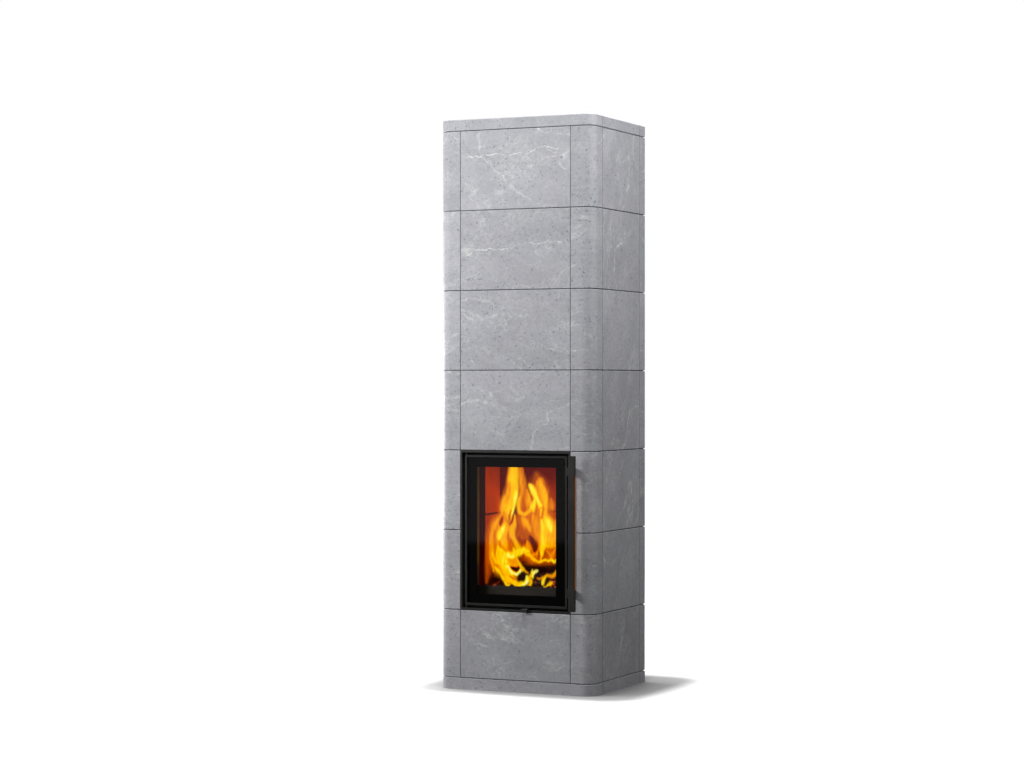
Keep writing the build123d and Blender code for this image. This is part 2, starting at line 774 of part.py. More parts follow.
with BuildPart() as handle_screws:
    for level in bracket_levels:
        for shift in (-handle_screw_spacing / 2, handle_screw_spacing / 2):
            head = Plane(origin=(root_x[1], bracket_hole_y, level + shift), x_dir=(0, 1, 0), z_dir=(1, 0, 0))
            with BuildSketch(head):
                Circle(handle_screw_head_radius)
            extrude(amount=handle_screw_head)
            with BuildSketch(head):
                Circle(handle_screw_radius)
            extrude(amount=-(bracket_thickness + handle_screw_length))
write(handle_screws, "handle_screws")

# Roller catch: a tongue on the door, and a roller on a pin behind the recess plate
with BuildPart() as latch_tongue:
    block((tongue_left_edge, tongue_left_edge + tongue_thickness), (door_back, door_back + tongue_length),
          (catch_level - tongue_height / 2, catch_level + tongue_height / 2))
write(latch_tongue, "latch_tongue")

roller_spot = (
    tongue_left_edge + tongue_thickness + roller_gap + roller_radius,
    recess_back + catch_ear_depth / 2,
)
roller_z = (catch_level - roller_length / 2, catch_level + roller_length / 2)
ear_x = (roller_spot[0] - roller_radius, roller_spot[0] - roller_radius + catch_ear_width)
ear_y = (recess_back, recess_back + catch_ear_depth)
with BuildPart() as catch_bracket:
    block(ear_x, ear_y, (roller_z[0] - roller_end_gap - catch_ear, roller_z[0] - roller_end_gap))
    block(ear_x, ear_y, (roller_z[1] + roller_end_gap, roller_z[1] + roller_end_gap + catch_ear))
    with BuildSketch(Plane.XY.offset(roller_z[0] - roller_end_gap)):
        with Locations(roller_spot):
            Circle(roller_pin_radius)
    extrude(amount=roller_length + 2 * roller_end_gap)
write(catch_bracket, "catch_bracket")

with BuildPart() as catch_roller:
    with BuildSketch(Plane.XY.offset(roller_z[0])):
        with Locations(roller_spot):
            Circle(roller_radius)
            Circle(roller_pin_radius + roller_clearance, mode=Mode.SUBTRACT)
    extrude(amount=roller_length)
write(catch_roller, "catch_roller")

# Air control: a shutter behind the recess plate with a lever out under the door
shutter_y = (recess_back + slide_gap, recess_back + slide_gap + shutter_thickness)
shutter_z = (recess_bottom + slide_gap, recess_bottom + slide_gap + shutter_height)
lever_x_span = (lever_x - lever_width / 2, lever_x + lever_width / 2)
lever_face = front - lever_stand_out
with BuildPart() as air_slide:
    block((lever_x - shutter_half_length, lever_x + shutter_half_length), shutter_y, shutter_z)
    block(lever_x_span, (lever_face, shutter_y[0]), (lever_bottom, lever_top))
    block(lever_x_span, (lever_face, lever_face + lever_tip), (lever_bottom - lever_tip_drop, lever_top))
    chamfer(air_slide.faces().sort_by(Axis.Y)[0].edges(), handle_chamfer)
write(air_slide, "air_slide")

with BuildPart() as air_slide_guides:
    guide_x = (-guide_half_length, guide_half_length)
    lip_y = (shutter_y[1] + slide_gap, shutter_y[1] + slide_gap + guide_thickness)
    block(guide_x, lip_y, (recess_bottom, recess_bottom + guide_height))
    rail_bottom = shutter_z[1] + slide_gap
    block(guide_x, (recess_back, lip_y[1]), (rail_bottom, rail_bottom + guide_height))
    block(guide_x, lip_y, (rail_bottom - guide_height, rail_bottom))
write(air_slide_guides, "air_slide_guides")

# Log guard standing in the sleeve behind the glass
with BuildPart() as log_guard:
    guard_x = sleeve_half_width - guard_end_gap
    guard_y = (front + guard_setback, front + guard_setback + guard_thickness)
    block((-guard_x, guard_x), guard_y, (sleeve_bottom, guard_top))
    block((-guard_x, guard_x), (guard_y[1], guard_y[1] + guard_foot), (sleeve_bottom, sleeve_bottom + guard_thickness))
write(log_guard, "log_guard")
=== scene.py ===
"""Looks of the soapstone masonry heater: stone, steel, glass, the wood fire, the light and the camera."""
import math

import bpy
import numpy as np
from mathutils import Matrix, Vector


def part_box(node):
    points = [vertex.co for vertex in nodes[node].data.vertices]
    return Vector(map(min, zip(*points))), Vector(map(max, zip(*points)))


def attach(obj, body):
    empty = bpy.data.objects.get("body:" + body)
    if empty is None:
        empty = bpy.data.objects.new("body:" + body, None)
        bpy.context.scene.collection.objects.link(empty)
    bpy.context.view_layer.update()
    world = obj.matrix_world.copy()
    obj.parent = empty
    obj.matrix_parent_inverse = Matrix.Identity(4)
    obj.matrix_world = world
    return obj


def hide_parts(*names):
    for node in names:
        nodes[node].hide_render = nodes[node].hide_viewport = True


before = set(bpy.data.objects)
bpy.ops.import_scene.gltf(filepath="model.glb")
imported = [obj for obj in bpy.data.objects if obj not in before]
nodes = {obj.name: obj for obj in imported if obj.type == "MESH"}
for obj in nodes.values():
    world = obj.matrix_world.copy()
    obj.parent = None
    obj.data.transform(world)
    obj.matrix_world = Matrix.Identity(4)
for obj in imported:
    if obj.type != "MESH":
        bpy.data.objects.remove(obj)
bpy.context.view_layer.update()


MM = 0.001
COURSE = 0.25
CORNER_JOINT = 0.188
FRONT_BAY = -0.1365
REAR_BAY = 0.1675
BASE_TOP = 0.0365
HEARTH = 0.290
SIDE_LINING_JOINT = 0.543
BACK_LINING_JOINT = 0.550

# Camera
CAMERA_PLACE = (3.1568, -6.9902, 0.9573)
CAMERA_TURN = math.radians(25.04)
FOCAL_PIXELS = 2410.0
SENSOR_WIDTH = 36.0
PICTURE_WIDTH, PICTURE_HEIGHT = 1024, 768

camera_data = bpy.data.cameras.new("camera")
camera_data.sensor_width = SENSOR_WIDTH
camera_data.lens = SENSOR_WIDTH * FOCAL_PIXELS / PICTURE_WIDTH
camera_data.clip_end = 60.0
camera = bpy.data.objects.new("camera", camera_data)
camera.location = CAMERA_PLACE
camera.rotation_euler = (math.pi / 2, 0.0, CAMERA_TURN)
bpy.context.scene.collection.objects.link(camera)
bpy.context.scene.camera = camera


# Meshes
def mesh_object(name, points, quads, attributes=None, smooth=True):
    """An object from an array of points and an array of quads, with float attributes on its points."""
    mesh = bpy.data.meshes.new(name)
    points = np.asarray(points, float).reshape(-1, 3)
    quads = np.asarray(quads, np.int32).reshape(-1, 4)
    mesh.vertices.add(len(points))
    mesh.vertices.foreach_set("co", points.ravel())
    mesh.loops.add(quads.size)
    mesh.loops.foreach_set("vertex_index", quads.ravel())
    mesh.polygons.add(len(quads))
    mesh.polygons.foreach_set("loop_start", np.arange(0, quads.size, 4, dtype=np.int32))
    mesh.polygons.foreach_set("use_smooth", np.full(len(quads), smooth))
    for key, values in (attributes or {}).items():
        mesh.attributes.new(key, "FLOAT", "POINT").data.foreach_set("value", values)
    mesh.update(calc_edges=True)
    mesh.validate()
    piece = bpy.data.objects.new(name, mesh)
    bpy.context.scene.collection.objects.link(piece)
    return piece


def grid_quads(rows, columns, close_rows=False, close_columns=False):
    """Corner numbers of the quads that join a grid's neighbours, wrapping round where it is closed."""
    i = np.arange(rows if close_rows else rows - 1)[:, None]
    j = np.arange(columns if close_columns else columns - 1)[None, :]
    up, over = (i + 1) % rows, (j + 1) % columns
    corners = [i * columns + j, i * columns + over, up * columns + over, up * columns + j]
    return np.stack(corners, -1).reshape(-1, 4)


def waves(points, size, seed, count=14):
    """Smooth noise in about -1..1: the mean of sines of the place along random directions, size apart."""
    points = np.asarray(points)
    rng = np.random.default_rng(seed)
    directions = rng.normal(size=(count, points.shape[-1]))
    directions *= (rng.uniform(0.6, 1.6, count) / np.linalg.norm(directions, axis=1))[:, None]
    phases = rng.uniform(0, 2 * np.pi, count)
    angles = points @ directions.T * (2 * np.pi / size) + phases
    return np.sin(angles).sum(-1) / math.sqrt(count / 2) * 0.5


def through(knots, count):
    """A smooth path through knots: each span is a cubic whose slopes are half the step between neighbours."""
    knots = np.asarray(knots, float)
    slopes = np.gradient(knots, axis=0)
    place = np.linspace(0, len(knots) - 1, count)
    span = np.minimum(place.astype(int), len(knots) - 2)
    t = (place - span)[:, None]
    a, b, m, n = knots[span], knots[span + 1], slopes[span], slopes[span + 1]
    return ((2 * t**3 - 3 * t**2 + 1) * a + (t**3 - 2 * t**2 + t) * m
            + (3 * t**2 - 2 * t**3) * b + (t**3 - t**2) * n)


# Node tools
class Value:
    """A node's output. Arithmetic on it adds Math nodes, or Vector Math nodes for a vector or a colour."""

    def __init__(self, socket):
        self.socket = socket
        self.tree = socket.id_data
        self.is_vector = socket.type in ("VECTOR", "RGBA")

    def __add__(self, other):
        return calc("ADD", self, other)

    def __sub__(self, other):
        return calc("SUBTRACT", self, other)

    def __rsub__(self, other):
        return calc("SUBTRACT", other, self)

    def __mul__(self, other):
        by_vector = isinstance(other, tuple) or isinstance(other, Value) and other.is_vector
        if self.is_vector and not by_vector:
            inputs = {0: self, "Scale": other}
            return node_values(self.tree, "VectorMath", inputs, operation="SCALE")["Vector"]
        return calc("MULTIPLY", self, other)

    def __truediv__(self, other):
        return calc("DIVIDE", self, other)

    def __gt__(self, other):
        return calc("GREATER_THAN", self, other)

    def __lt__(self, other):
        return calc("LESS_THAN", self, other)

    def __abs__(self):
        return calc("ABSOLUTE", self)


def connect(value, socket):
    """Links an output to a socket, or sets the socket to a plain value."""
    if isinstance(value, Value):
        value = value.socket
    if isinstance(value, bpy.types.NodeSocket):
        socket.id_data.links.new(value, socket)
    elif socket.type == "RGBA" and len(value) == 3:
        socket.default_value = (*value, 1.0)
    else:
        socket.default_value = value


def add_node(tree, kind, inputs=None, **settings):
    """Adds a shader node. inputs gives a value, or the output that feeds it, for each named socket."""
    node = tree.nodes.new("ShaderNode" + kind)
    for key, value in settings.items():
        setattr(node, key, value)
    for key, value in (inputs or {}).items():
        connect(value, node.inputs[key])
    return node


def values_of(node):
    """A node's outputs by name."""
    return {socket.name: Value(socket) for socket in node.outputs}


def node_values(tree, kind, inputs=None, **settings):
    """Adds a shader node and returns its outputs by name."""
    return values_of(add_node(tree, kind, inputs, **settings))


def feed(node, **values):
    """Links outputs to a node's sockets, or sets them: an underscore in a keyword stands for a space."""
    for key, value in values.items():
        connect(value, node.inputs[key.replace("_", " ")])


def calc(operation, *values, clamp=False):
    """The output of a Math node, or of a Vector Math node where the first output given is a vector."""
    first = next(value for value in values if isinstance(value, Value))
    kind, settings = ("VectorMath", {}) if first.is_vector else ("Math", {"use_clamp": clamp})
    node = add_node(first.tree, kind, dict(enumerate(values)), operation=operation, **settings)
    return Value(node.outputs[0])


def linear(value, slope, offset):
    """value times slope plus offset."""
    return calc("MULTIPLY_ADD", value, slope, offset)


def split(vector):
    """The three parts of a vector or a colour."""
    return [Value(part) for part in add_node(vector.tree, "SeparateXYZ", {0: vector}).outputs]


def joined(tree, x, y, z):
    """A vector from three parts."""
    return Value(add_node(tree, "CombineXYZ", {0: x, 1: y, 2: z}).outputs[0])


def length(vector):
    """The length of a vector."""
    return Value(add_node(vector.tree, "VectorMath", {0: vector}, operation="LENGTH").outputs["Value"])


def noise(vector, scale, detail=2.0, roughness=0.5, distortion=0.0, colour=False):
    """A Noise Texture's value, or its colour."""
    inputs = {"Vector": vector, "Scale": scale, "Detail": detail, "Roughness": roughness,
              "Distortion": distortion}
    return Value(add_node(vector.tree, "TexNoise", inputs).outputs["Color" if colour else "Fac"])


def swirl(vector, scale, detail, roughness):
    """A noise of vectors round zero."""
    return noise(vector, scale, detail, roughness, colour=True) - (0.5, 0.5, 0.5)


def remap(value, low, high, out_low=0.0, out_high=1.0):
    """value taken smoothly from low..high to out_low..out_high, clamped."""
    inputs = {"Value": value, "From Min": low, "From Max": high, "To Min": out_low, "To Max": out_high}
    return node_values(value.tree, "MapRange", inputs, interpolation_type="SMOOTHSTEP")["Result"]


def mix(factor, a, b, mode="MIX"):
    """Two colours mixed by a factor."""
    tree = next(value for value in (factor, a) if isinstance(value, Value)).tree
    node = add_node(tree, "Mix", data_type="RGBA", blend_type=mode, clamp_factor=True)
    for number, value in ((0, factor), (6, a), (7, b)):
        connect(value, node.inputs[number])
    return Value(node.outputs[2])


def ramp(factor, *stops):
    """A Color Ramp through (position, colour) stops."""
    node = add_node(factor.tree, "ValToRGB", {"Fac": factor})
    elements = node.color_ramp.elements
    elements.remove(elements[1])
    elements[0].position = stops[0][0]
    for position, colour in stops[1:]:
        elements.new(position)
    for element, (position, colour) in zip(elements, stops):
        element.color = (*colour, 1.0)
    return Value(node.outputs["Color"])


ORIGIN = (0.0, 0.0, 0.0)
BLACK = (0.0, 0.0, 0.0)
WHITE = (1.0, 1.0, 1.0)
SOCKET_KINDS = {1: "NodeSocketFloat", 3: "NodeSocketVector", 4: "NodeSocketColor"}
OUTPUT_SIZES = {"Vector": 3, "Color": 4}


def new_group(name, inputs, *outputs):
    """A shader node group: its inputs by name, and its end node. A default's length tells a socket's kind."""
    tree = bpy.data.node_groups.new(name, "ShaderNodeTree")
    for label, default in inputs.items():
        socket = tree.interface.new_socket(label, in_out="INPUT", socket_type=SOCKET_KINDS[np.size(default)])
        socket.default_value = default
    for label in outputs:
        kind = SOCKET_KINDS[OUTPUT_SIZES.get(label, 1)]
        tree.interface.new_socket(label, in_out="OUTPUT", socket_type=kind)
    return values_of(tree.nodes.new("NodeGroupInput")), tree.nodes.new("NodeGroupOutput")


def use_group(group, **values):
    """Places a node group beside the output that feeds its Vector, and returns its outputs by name."""
    node = values["Vector"].tree.nodes.new("ShaderNodeGroup")
    node.node_tree = group
    feed(node, **values)
    return values_of(node)


def material(name):
    """A new material, its Principled BSDF and its Object coordinates."""
    made = bpy.data.materials.new(name)
    made.use_nodes = True
    tree = made.node_tree
    return made, tree.nodes["Principled BSDF"], node_values(tree, "TexCoord")["Object"]


def relief(shader, height, strength, distance):
    """Feeds a height to the shader's normal through a Bump node."""
    bump = {"Height": height, "Strength": strength, "Distance": distance}
    feed(shader, Normal=node_values(height.tree, "Bump", bump)["Normal"])


def mix_shaders(factor, a, b):
    """Two shaders mixed by a factor."""
    return add_node(factor.tree, "MixShader", {0: factor, 1: a, 2: b}).outputs[0]


# Shared effects
def make_stone_by_stone():
    """Shifts the pattern from stone to stone: the course, column and bay give each stone a random offset."""
    given, end = new_group("stone by stone", {"Vector": ORIGIN, "Courses": 1.0, "Seed": 0.0},
                           "Vector", "Tone")
    place = given["Vector"]
    x, y, z = split(place)
    course = calc("FLOOR", z / COURSE)
    column = calc("SIGN", x) * (abs(x) > CORNER_JOINT)
    bay = (y > REAR_BAY) - (y < FRONT_BAY)
    cell = joined(place.tree, column, bay, course) * (1.7, 2.3, 3.1) * given["Courses"]
    seed = joined(place.tree, given["Seed"], 4.4, 7.7)
    dice = node_values(place.tree, "TexWhiteNoise", {"Vector": cell + seed}, noise_dimensions="3D")
    offset = (dice["Color"] - (0.5, 0.5, 0.5)) * 12.0
    feed(end, Vector=place + offset, Tone=dice["Value"])
    return end.id_data


def off_middle(vector, scale, detail, roughness=0.5):
    """How far a noise is from its middle value, which it passes along winding lines."""
    return abs(noise(vector, scale, detail, roughness) - 0.5)


def line_mask(away, sharpness, power=1.0):
    """1 where away is 0, falling to 0 at 1 / sharpness."""
    near = calc("SUBTRACT", 1.0, away * sharpness, clamp=True)
    return near if power == 1.0 else calc("POWER", near, power)


def product(*values):
    """The product of several values, clamped to 0..1."""
    result = values[0]
    for value in values[1:]:
        result = calc("MULTIPLY", result, value, clamp=True)
    return result


def make_soapstone():
    """Honed soapstone: clouds, fine grain, thin veins with feathered threads, bluish specks and streaks.

    A vein is a narrow band round the line where warped noise, stretched along the bedding, passes its middle
    value. Threads are such lines of finer noise, in patches and beside the veins. Drawn is a mask of more
    veins."""
    given, end = new_group(
        "soapstone",
        {"Vector": ORIGIN, "Tone": 0.5, "Veins": 1.0, "Drawn": 0.0, "Specks": 1.0, "Streaks": 0.3,
         "Streak Stretch": (0.12, 0.12, 1.0), "Tilt": (0.0, -0.22, 0.0), "Bedding": (0.45, 0.45, 1.0),
         "Stone": (0.380, 0.379, 0.408, 1.0)},
        "Color", "Roughness", "Height")
    place = given["Vector"]
    warped = place + swirl(place, 5.5, 2.0, 0.5) * 0.09 + swirl(place, 30.0, 4.0, 0.6) * 0.026
    turned = node_values(place.tree, "VectorRotate", {"Vector": warped, "Rotation": given["Tilt"]},
                         rotation_type="EULER_XYZ")["Vector"]
    bedding = turned * given["Bedding"]
    patchy = noise(place, 7.0, 2.0)
    thick = remap(noise(warped, 55.0, 3.0, 0.6), 0.38, 0.64, 0.10, 1.0)

    vein_away = off_middle(bedding, 6.0, 1.5, 0.4)
    main = product(line_mask(vein_away, 105.0), remap(noise(place, 4.0, 1.0), 0.48, 0.56), thick)
    branch = product(line_mask(off_middle(bedding, 12.0, 2.5), 62.0), remap(patchy, 0.50, 0.60), thick)
    hair = product(line_mask(off_middle(warped, 26.0, 3.0, 0.55), 32.0, 1.5),
                   remap(noise(place, 17.0, 3.0), 0.46, 0.62))
    near_vein = line_mask(vein_away, 13.0) * remap(patchy, 0.50, 0.62)
    beside = calc("MAXIMUM", near_vein, remap(given["Drawn"], 0.02, 0.40))
    threads = product(line_mask(off_middle(bedding, 74.0, 3.0, 0.6), 11.0, 1.5), beside,
                      remap(noise(bedding, 40.0, 2.0), 0.44, 0.60))
    lines = (main * 0.85 + branch * 0.60 + hair * 0.40 + threads * 0.95) * given["Veins"]
    drawn = remap(given["Drawn"], 0.28, 0.95) * thick
    fleece = product(remap(noise(bedding, 9.0, 3.0, 0.6), 0.50, 0.68),
                     remap(noise(warped, 130.0, 4.0, 0.7), 0.42, 0.66))
    veins = calc("ADD", lines + fleece * (given["Veins"] * 0.42), drawn, clamp=True)

    spots = node_values(place.tree, "TexVoronoi", {"Vector": warped * (0.8, 0.8, 1.0), "Scale": 150.0},
                        feature="F1")
    dice = split(spots["Color"])
    chosen = dice[0] > remap(noise(place, 9.0, 3.0), 0.38, 0.60, 0.86, 0.34)
    speck = remap(spots["Distance"] / linear(dice[1], 0.30, 0.14), 1.35, 0.60)
    specks = product(chosen, speck, linear(dice[2], 0.7, 0.3), given["Specks"])

    clouds = noise(bedding, 16.0, 3.0, 0.55)
    mottle = noise(place, 85.0, 5.0, 0.72)
    grain = noise(place, 420.0, 2.0, 0.6)
    streaks = noise(place * given["Streak Stretch"], 330.0, 3.0, 0.6)
    light = (linear(clouds, 0.36, 0.82) + linear(mottle, 0.52, -0.26) + linear(grain, 0.46, -0.23)
             + linear(given["Tone"], 0.13, -0.065) + (streaks - 0.5) * given["Streaks"])
    body = given["Stone"] * light
    hue = remap(noise(place, 3.6, 2.0), 0.46, 0.64) * 0.5
    body = mix(hue, body, body * (0.94, 0.985, 0.955))
    pale = mix(veins, body, (0.66, 0.67, 0.66))
    feed(end, Color=mix(specks, pale, pale * (0.42, 0.49, 0.60)),
         Roughness=linear(mottle, 0.14, 0.50) - veins * 0.08,
         Height=grain * 0.5 - specks * 0.5 + mottle * 0.6)
    return end.id_data


# Veins on the front, each with its half-width and strength, and the (x, z) places it runs through, in mm
RISING_VEINS = [
    (3.0, 1.00, [(-184, 1660), (-130, 1669), (-44, 1672), (42, 1674), (103, 1690), (140, 1686), (186, 1675)]),
    (2.2, 0.80, [(30, 1626), (70, 1642), (110, 1658), (150, 1664), (186, 1676)]),
    (1.6, 0.45, [(-110, 1575), (-50, 1610), (0, 1636), (60, 1652)]),
    (1.6, 0.40, [(-20, 1500), (25, 1512), (70, 1545), (112, 1566)]),
    (1.5, 0.30, [(-175, 1590), (-110, 1597), (-60, 1622)]),
    (3.0, 1.00, [(-184, 1352), (-150, 1366), (-120, 1375), (-33, 1378), (42, 1391), (103, 1396),
        (180, 1384)]),
    (2.0, 0.65, [(-184, 1383), (-155, 1402), (-130, 1418), (-60, 1424)]),
    (2.2, 0.70, [(-45, 1316), (0, 1326), (40, 1328), (104, 1338)]),
    (2.2, 0.80, [(110, 1268), (150, 1288), (187, 1316), (222, 1348)]),
    (1.8, 0.60, [(60, 1300), (110, 1312), (160, 1334), (187, 1342)]),
    (2.2, 0.90, [(78, 1080), (100, 1072), (140, 1060), (187, 1056), (240, 1060), (262, 1064)]),
    (1.8, 0.55, [(-60, 1030), (-30, 1047), (-5, 1075), (25, 1104)]),
    (2.0, 0.75, [(76, 873), (92, 888), (110, 902), (150, 908), (187, 905), (225, 900)]),
    (1.8, 0.60, [(-80, 904), (-51, 908), (-10, 916), (25, 924)]),
    (1.8, 0.55, [(-5, 946), (20, 955), (50, 961), (78, 971)]),
    (1.8, 0.50, [(-184, 950), (-150, 958), (-102, 970)]),
    (2.4, 0.80, [(186, 816), (225, 808), (262, 800)]),
    (1.8, 0.60, [(188, 956), (225, 953), (256, 950)]),
    (1.8, 0.60, [(188, 990), (225, 993), (260, 990)]),
    (1.8, 0.70, [(-165, 168), (-108, 192), (-60, 212), (-10, 234), (30, 246)]),
    (1.8, 0.60, [(-156, 150), (-110, 148), (-66, 138)]),
    (1.6, 0.45, [(20, 92), (70, 112), (120, 132), (180, 150)]),
]
# The same for upright veins, with (z, x) places
STANDING_VEINS = [
    (2.4, 0.95, [(1047, 8), (1036, 24), (1022, 38), (1008, 54)]),
    (2.0, 0.60, [(1044, -152), (1025, -143), (1008, -134)]),
    (1.8, 0.55, [(970, 78), (982, 60), (990, 34)]),
    (1.6, 0.40, [(1240, 36), (1210, 46), (1170, 38), (1124, 46)]),
    (1.6, 0.35, [(1244, -90), (1200, -84), (1150, -96), (1080, -92)]),
]
# Feathered spots: place and reach in x and z, in mm, and strength
FEATHERED = [
    (128, 1684, 62, 18, 0.95), (164, 1276, 36, 16, 0.9), (42, 1180, 22, 70, 0.42), (-90, 1165, 18, 100, 0.42),
    (30, 1030, 30, 34, 0.8), (10, 945, 70, 36, 0.5), (-22, 96, 46, 16, 0.95), (66, 92, 16, 18, 0.8),
    (-160, 955, 30, 22, 0.5), (160, 1690, 30, 14, 0.8), (-150, 156, 18, 16, 0.6), (-105, 190, 30, 12, 0.6),
]

def winding_line(along, across, half_width, strength, knots):
    """A mask that is 1 on a smooth line through knots and 0 half_width away, faded at the line's ends."""
    if knots[0][0] > knots[-1][0]:
        knots = knots[::-1]
    starts, heights = zip(*knots)
    low, high = starts[0] * MM, starts[-1] * MM
    bottom, top = min(heights) * MM - 0.002, max(heights) * MM + 0.002
    curve = along.tree.nodes.new("ShaderNodeFloatCurve")
    points = curve.mapping.curves[0].points
    places = [((s * MM - low) / (high - low), (h * MM - bottom) / (top - bottom)) for s, h in knots]
    points[0].location, points[1].location = places[0], places[-1]
    for spot in places[1:-1]:
        points.new(*spot)
    curve.mapping.update()
    share = (along - low) / (high - low)
    feed(curve, Value=share)
    line = linear(Value(curve.outputs[0]), top - bottom, bottom)
    near = line_mask(abs(across - line), 1 / (half_width * MM))
    inside = calc("MULTIPLY", share * (1.0 - share), 14.0, clamp=True)
    return product(near, inside) * strength


def make_front_veins():
    """The veins of the front stones: winding lines and feathered spots at their own places on the front."""
    given, end = new_group("front veins", {"Vector": ORIGIN}, "Mask")
    place = given["Vector"] + swirl(given["Vector"], 22.0, 5.0, 0.62) * 0.036
    x, y, z = split(place)
    masks = [winding_line(x, z, *vein) for vein in RISING_VEINS]
    masks += [winding_line(z, x, *vein) for vein in STANDING_VEINS]
    thread = line_mask(off_middle(place, 62.0, 3.0, 0.6), 10.0)
    texture = product(thread, remap(noise(place, 150.0, 4.0, 0.7), 0.35, 0.65))
    flat = joined(place.tree, x, 0.0, z)
    for centre_x, centre_z, reach_x, reach_z, strength in FEATHERED:
        offset = flat - (centre_x * MM, 0, centre_z * MM)
        away = length(offset * (1 / (reach_x * MM), 0, 1 / (reach_z * MM)))
        masks.append(product(remap(away, 1.0, 0.3), texture) * strength)
    total = masks[0]
    for mask in masks[1:]:
        total = calc("MAXIMUM", total, mask)
    feed(end, Mask=total * (split(given["Vector"])[1] < -0.16))
    return end.id_data


def make_dust():
    """Dust and handling marks on a coating: patches of broad noise broken by fine noise."""
    given, end = new_group("dust", {"Vector": ORIGIN, "Amount": 0.3}, "Mask", "Grain")
    broad = noise(given["Vector"], 14.0, 4.0, 0.6)
    fine = noise(given["Vector"], 420.0, 3.0, 0.6)
    mask = remap(linear(fine, 0.35, broad * 0.65), 0.42, 0.72)
    feed(end, Mask=mask * given["Amount"], Grain=fine)
    return end.id_data


def make_char():
    """Charred wood: a network of shrinkage cracks along the grain, with fine fibres between them.

    A crack is where the distance to a stretched cell's border nears zero."""
    given, end = new_group("char", {"Vector": ORIGIN, "Scale": 60.0}, "Crack", "Fibre", "Height")
    place = given["Vector"]
    warped = place + noise(place, 25.0, 2.0, colour=True) * 0.02
    cells = node_values(place.tree, "TexVoronoi", {"Vector": warped, "Scale": given["Scale"]},
                        feature="DISTANCE_TO_EDGE")
    crack = remap(cells["Distance"], 0.14, 0.02)
    fibre = noise(place, 260.0, 4.0, 0.7)
    feed(end, Crack=crack, Fibre=fibre, Height=fibre * 0.4 - crack)
    return end.id_data


FIRE_HEART = (-0.06, -0.035, 0.47)


def make_firelight():
    """How strongly the painted firelight shows at a place: 1 near its heart and 0 at the reach, broken by
    noise.
    """
    given, end = new_group("firelight", {"Vector": ORIGIN, "Heart": FIRE_HEART, "Reach": 0.42}, "Glow")
    away = (given["Vector"] - given["Heart"]) * (1.0, 1.15, 1.0)
    near = calc("SUBTRACT", 1.0, length(away) / given["Reach"], clamp=True)
    patches = linear(noise(given["Vector"], 12.0, 4.0, 0.6), 0.5, 0.75)
    feed(end, Glow=product(near, patches))
    return end.id_data


stone_by_stone = make_stone_by_stone()
soapstone_look = make_soapstone()
front_veins = make_front_veins()
dust_look = make_dust()
char_look = make_char()
firelight_look = make_firelight()

# Materials
SOOT = (0.006, 0.003, 0.002)
# Faint red glow emitted by the surround's sooty mouth: painted firelight
PAINTED_FIRE_GLOW = (0.018, 0.0008, 0.0)
# Colour of the painted shade beside the side joints
PAINTED_JOINT_SHADE = (0.085, 0.086, 0.092)


def soapstone_material(name, courses, veins, specks, streaks, stretch, seed=0.0, tilt=(0.0, -0.22, 0.0),
                       bedding=(0.45, 0.45, 1.0), drawn=False):
    """Honed soapstone, with one pattern for each stone where courses is 1, and the front's veins where drawn.

    The stones' edges along the side joints carry a fine line of painted shade, where the joints' shadow
    falls."""
    made, shader, place = material(name)
    cell = use_group(stone_by_stone, Vector=place, Courses=courses, Seed=seed)
    look = use_group(soapstone_look, Vector=cell["Vector"], Tone=cell["Tone"], Veins=veins, Specks=specks,
                     Streaks=streaks, Streak_Stretch=stretch, Tilt=tilt, Bedding=bedding,
                     Drawn=use_group(front_veins, Vector=place)["Mask"] if drawn else 0.0)
    # Painted shade: the stone darkens within about 2 mm of each side joint, standing in for the joint's
    # shadow.
    depth = split(place)[1]
    off_joint = calc("MINIMUM", abs(depth - FRONT_BAY), abs(depth - REAR_BAY))
    edge = remap(off_joint, 0.0022, 0.0010) * 0.75
    feed(shader, Base_Color=mix(edge, look["Color"], PAINTED_JOINT_SHADE), Roughness=look["Roughness"],
         Specular_IOR_Level=0.35)
    relief(shader, look["Height"], 0.25, 0.0004)
    return made


def coated_material(name, colour, dusty, roughness, specular=0.5, soot_and_fire_glow=False):
    """A dark coating on steel: fine orange peel, with dust where the mask says.

    Where asked, what lies inside the firebox's mouth is covered with dull soot and emits a faint painted glow
    of firelight."""
    made, shader, place = material(name)
    marks = use_group(dust_look, Vector=place, Amount=0.35)
    skin = mix(marks["Mask"], colour, dusty)
    rough = linear(marks["Mask"], 0.3, roughness)
    if soot_and_fire_glow:
        x, y, z = split(place)
        inside = product(remap(y, -0.184, -0.180), remap(abs(x), 0.1525, 0.1510),
                         remap(abs(z - 0.5), 0.2150, 0.2135))
        skin = mix(inside, skin, SOOT)
        rough = calc("MAXIMUM", rough, inside)
        # Painted firelight: the soot inside the mouth emits a faint red glow.
        feed(shader, Emission_Color=mix(inside, BLACK, PAINTED_FIRE_GLOW), Emission_Strength=1.0)
    feed(shader, Base_Color=skin, Roughness=rough, Specular_IOR_Level=specular)
    relief(shader, marks["Grain"], 0.12, 0.0002)
    return made


def enamel_material():
    """Black border printed on the back of the glass, with very faint clouds."""
    made, shader, place = material("black enamel")
    clouds = noise(place, 40.0, 3.0, 0.6)
    black = ramp(clouds, (0.3, (0.0004, 0.0004, 0.0004)), (0.7, (0.0010, 0.0010, 0.0010)))
    feed(shader, Base_Color=black, Roughness=0.7, Specular_IOR_Level=0.05)
    return made


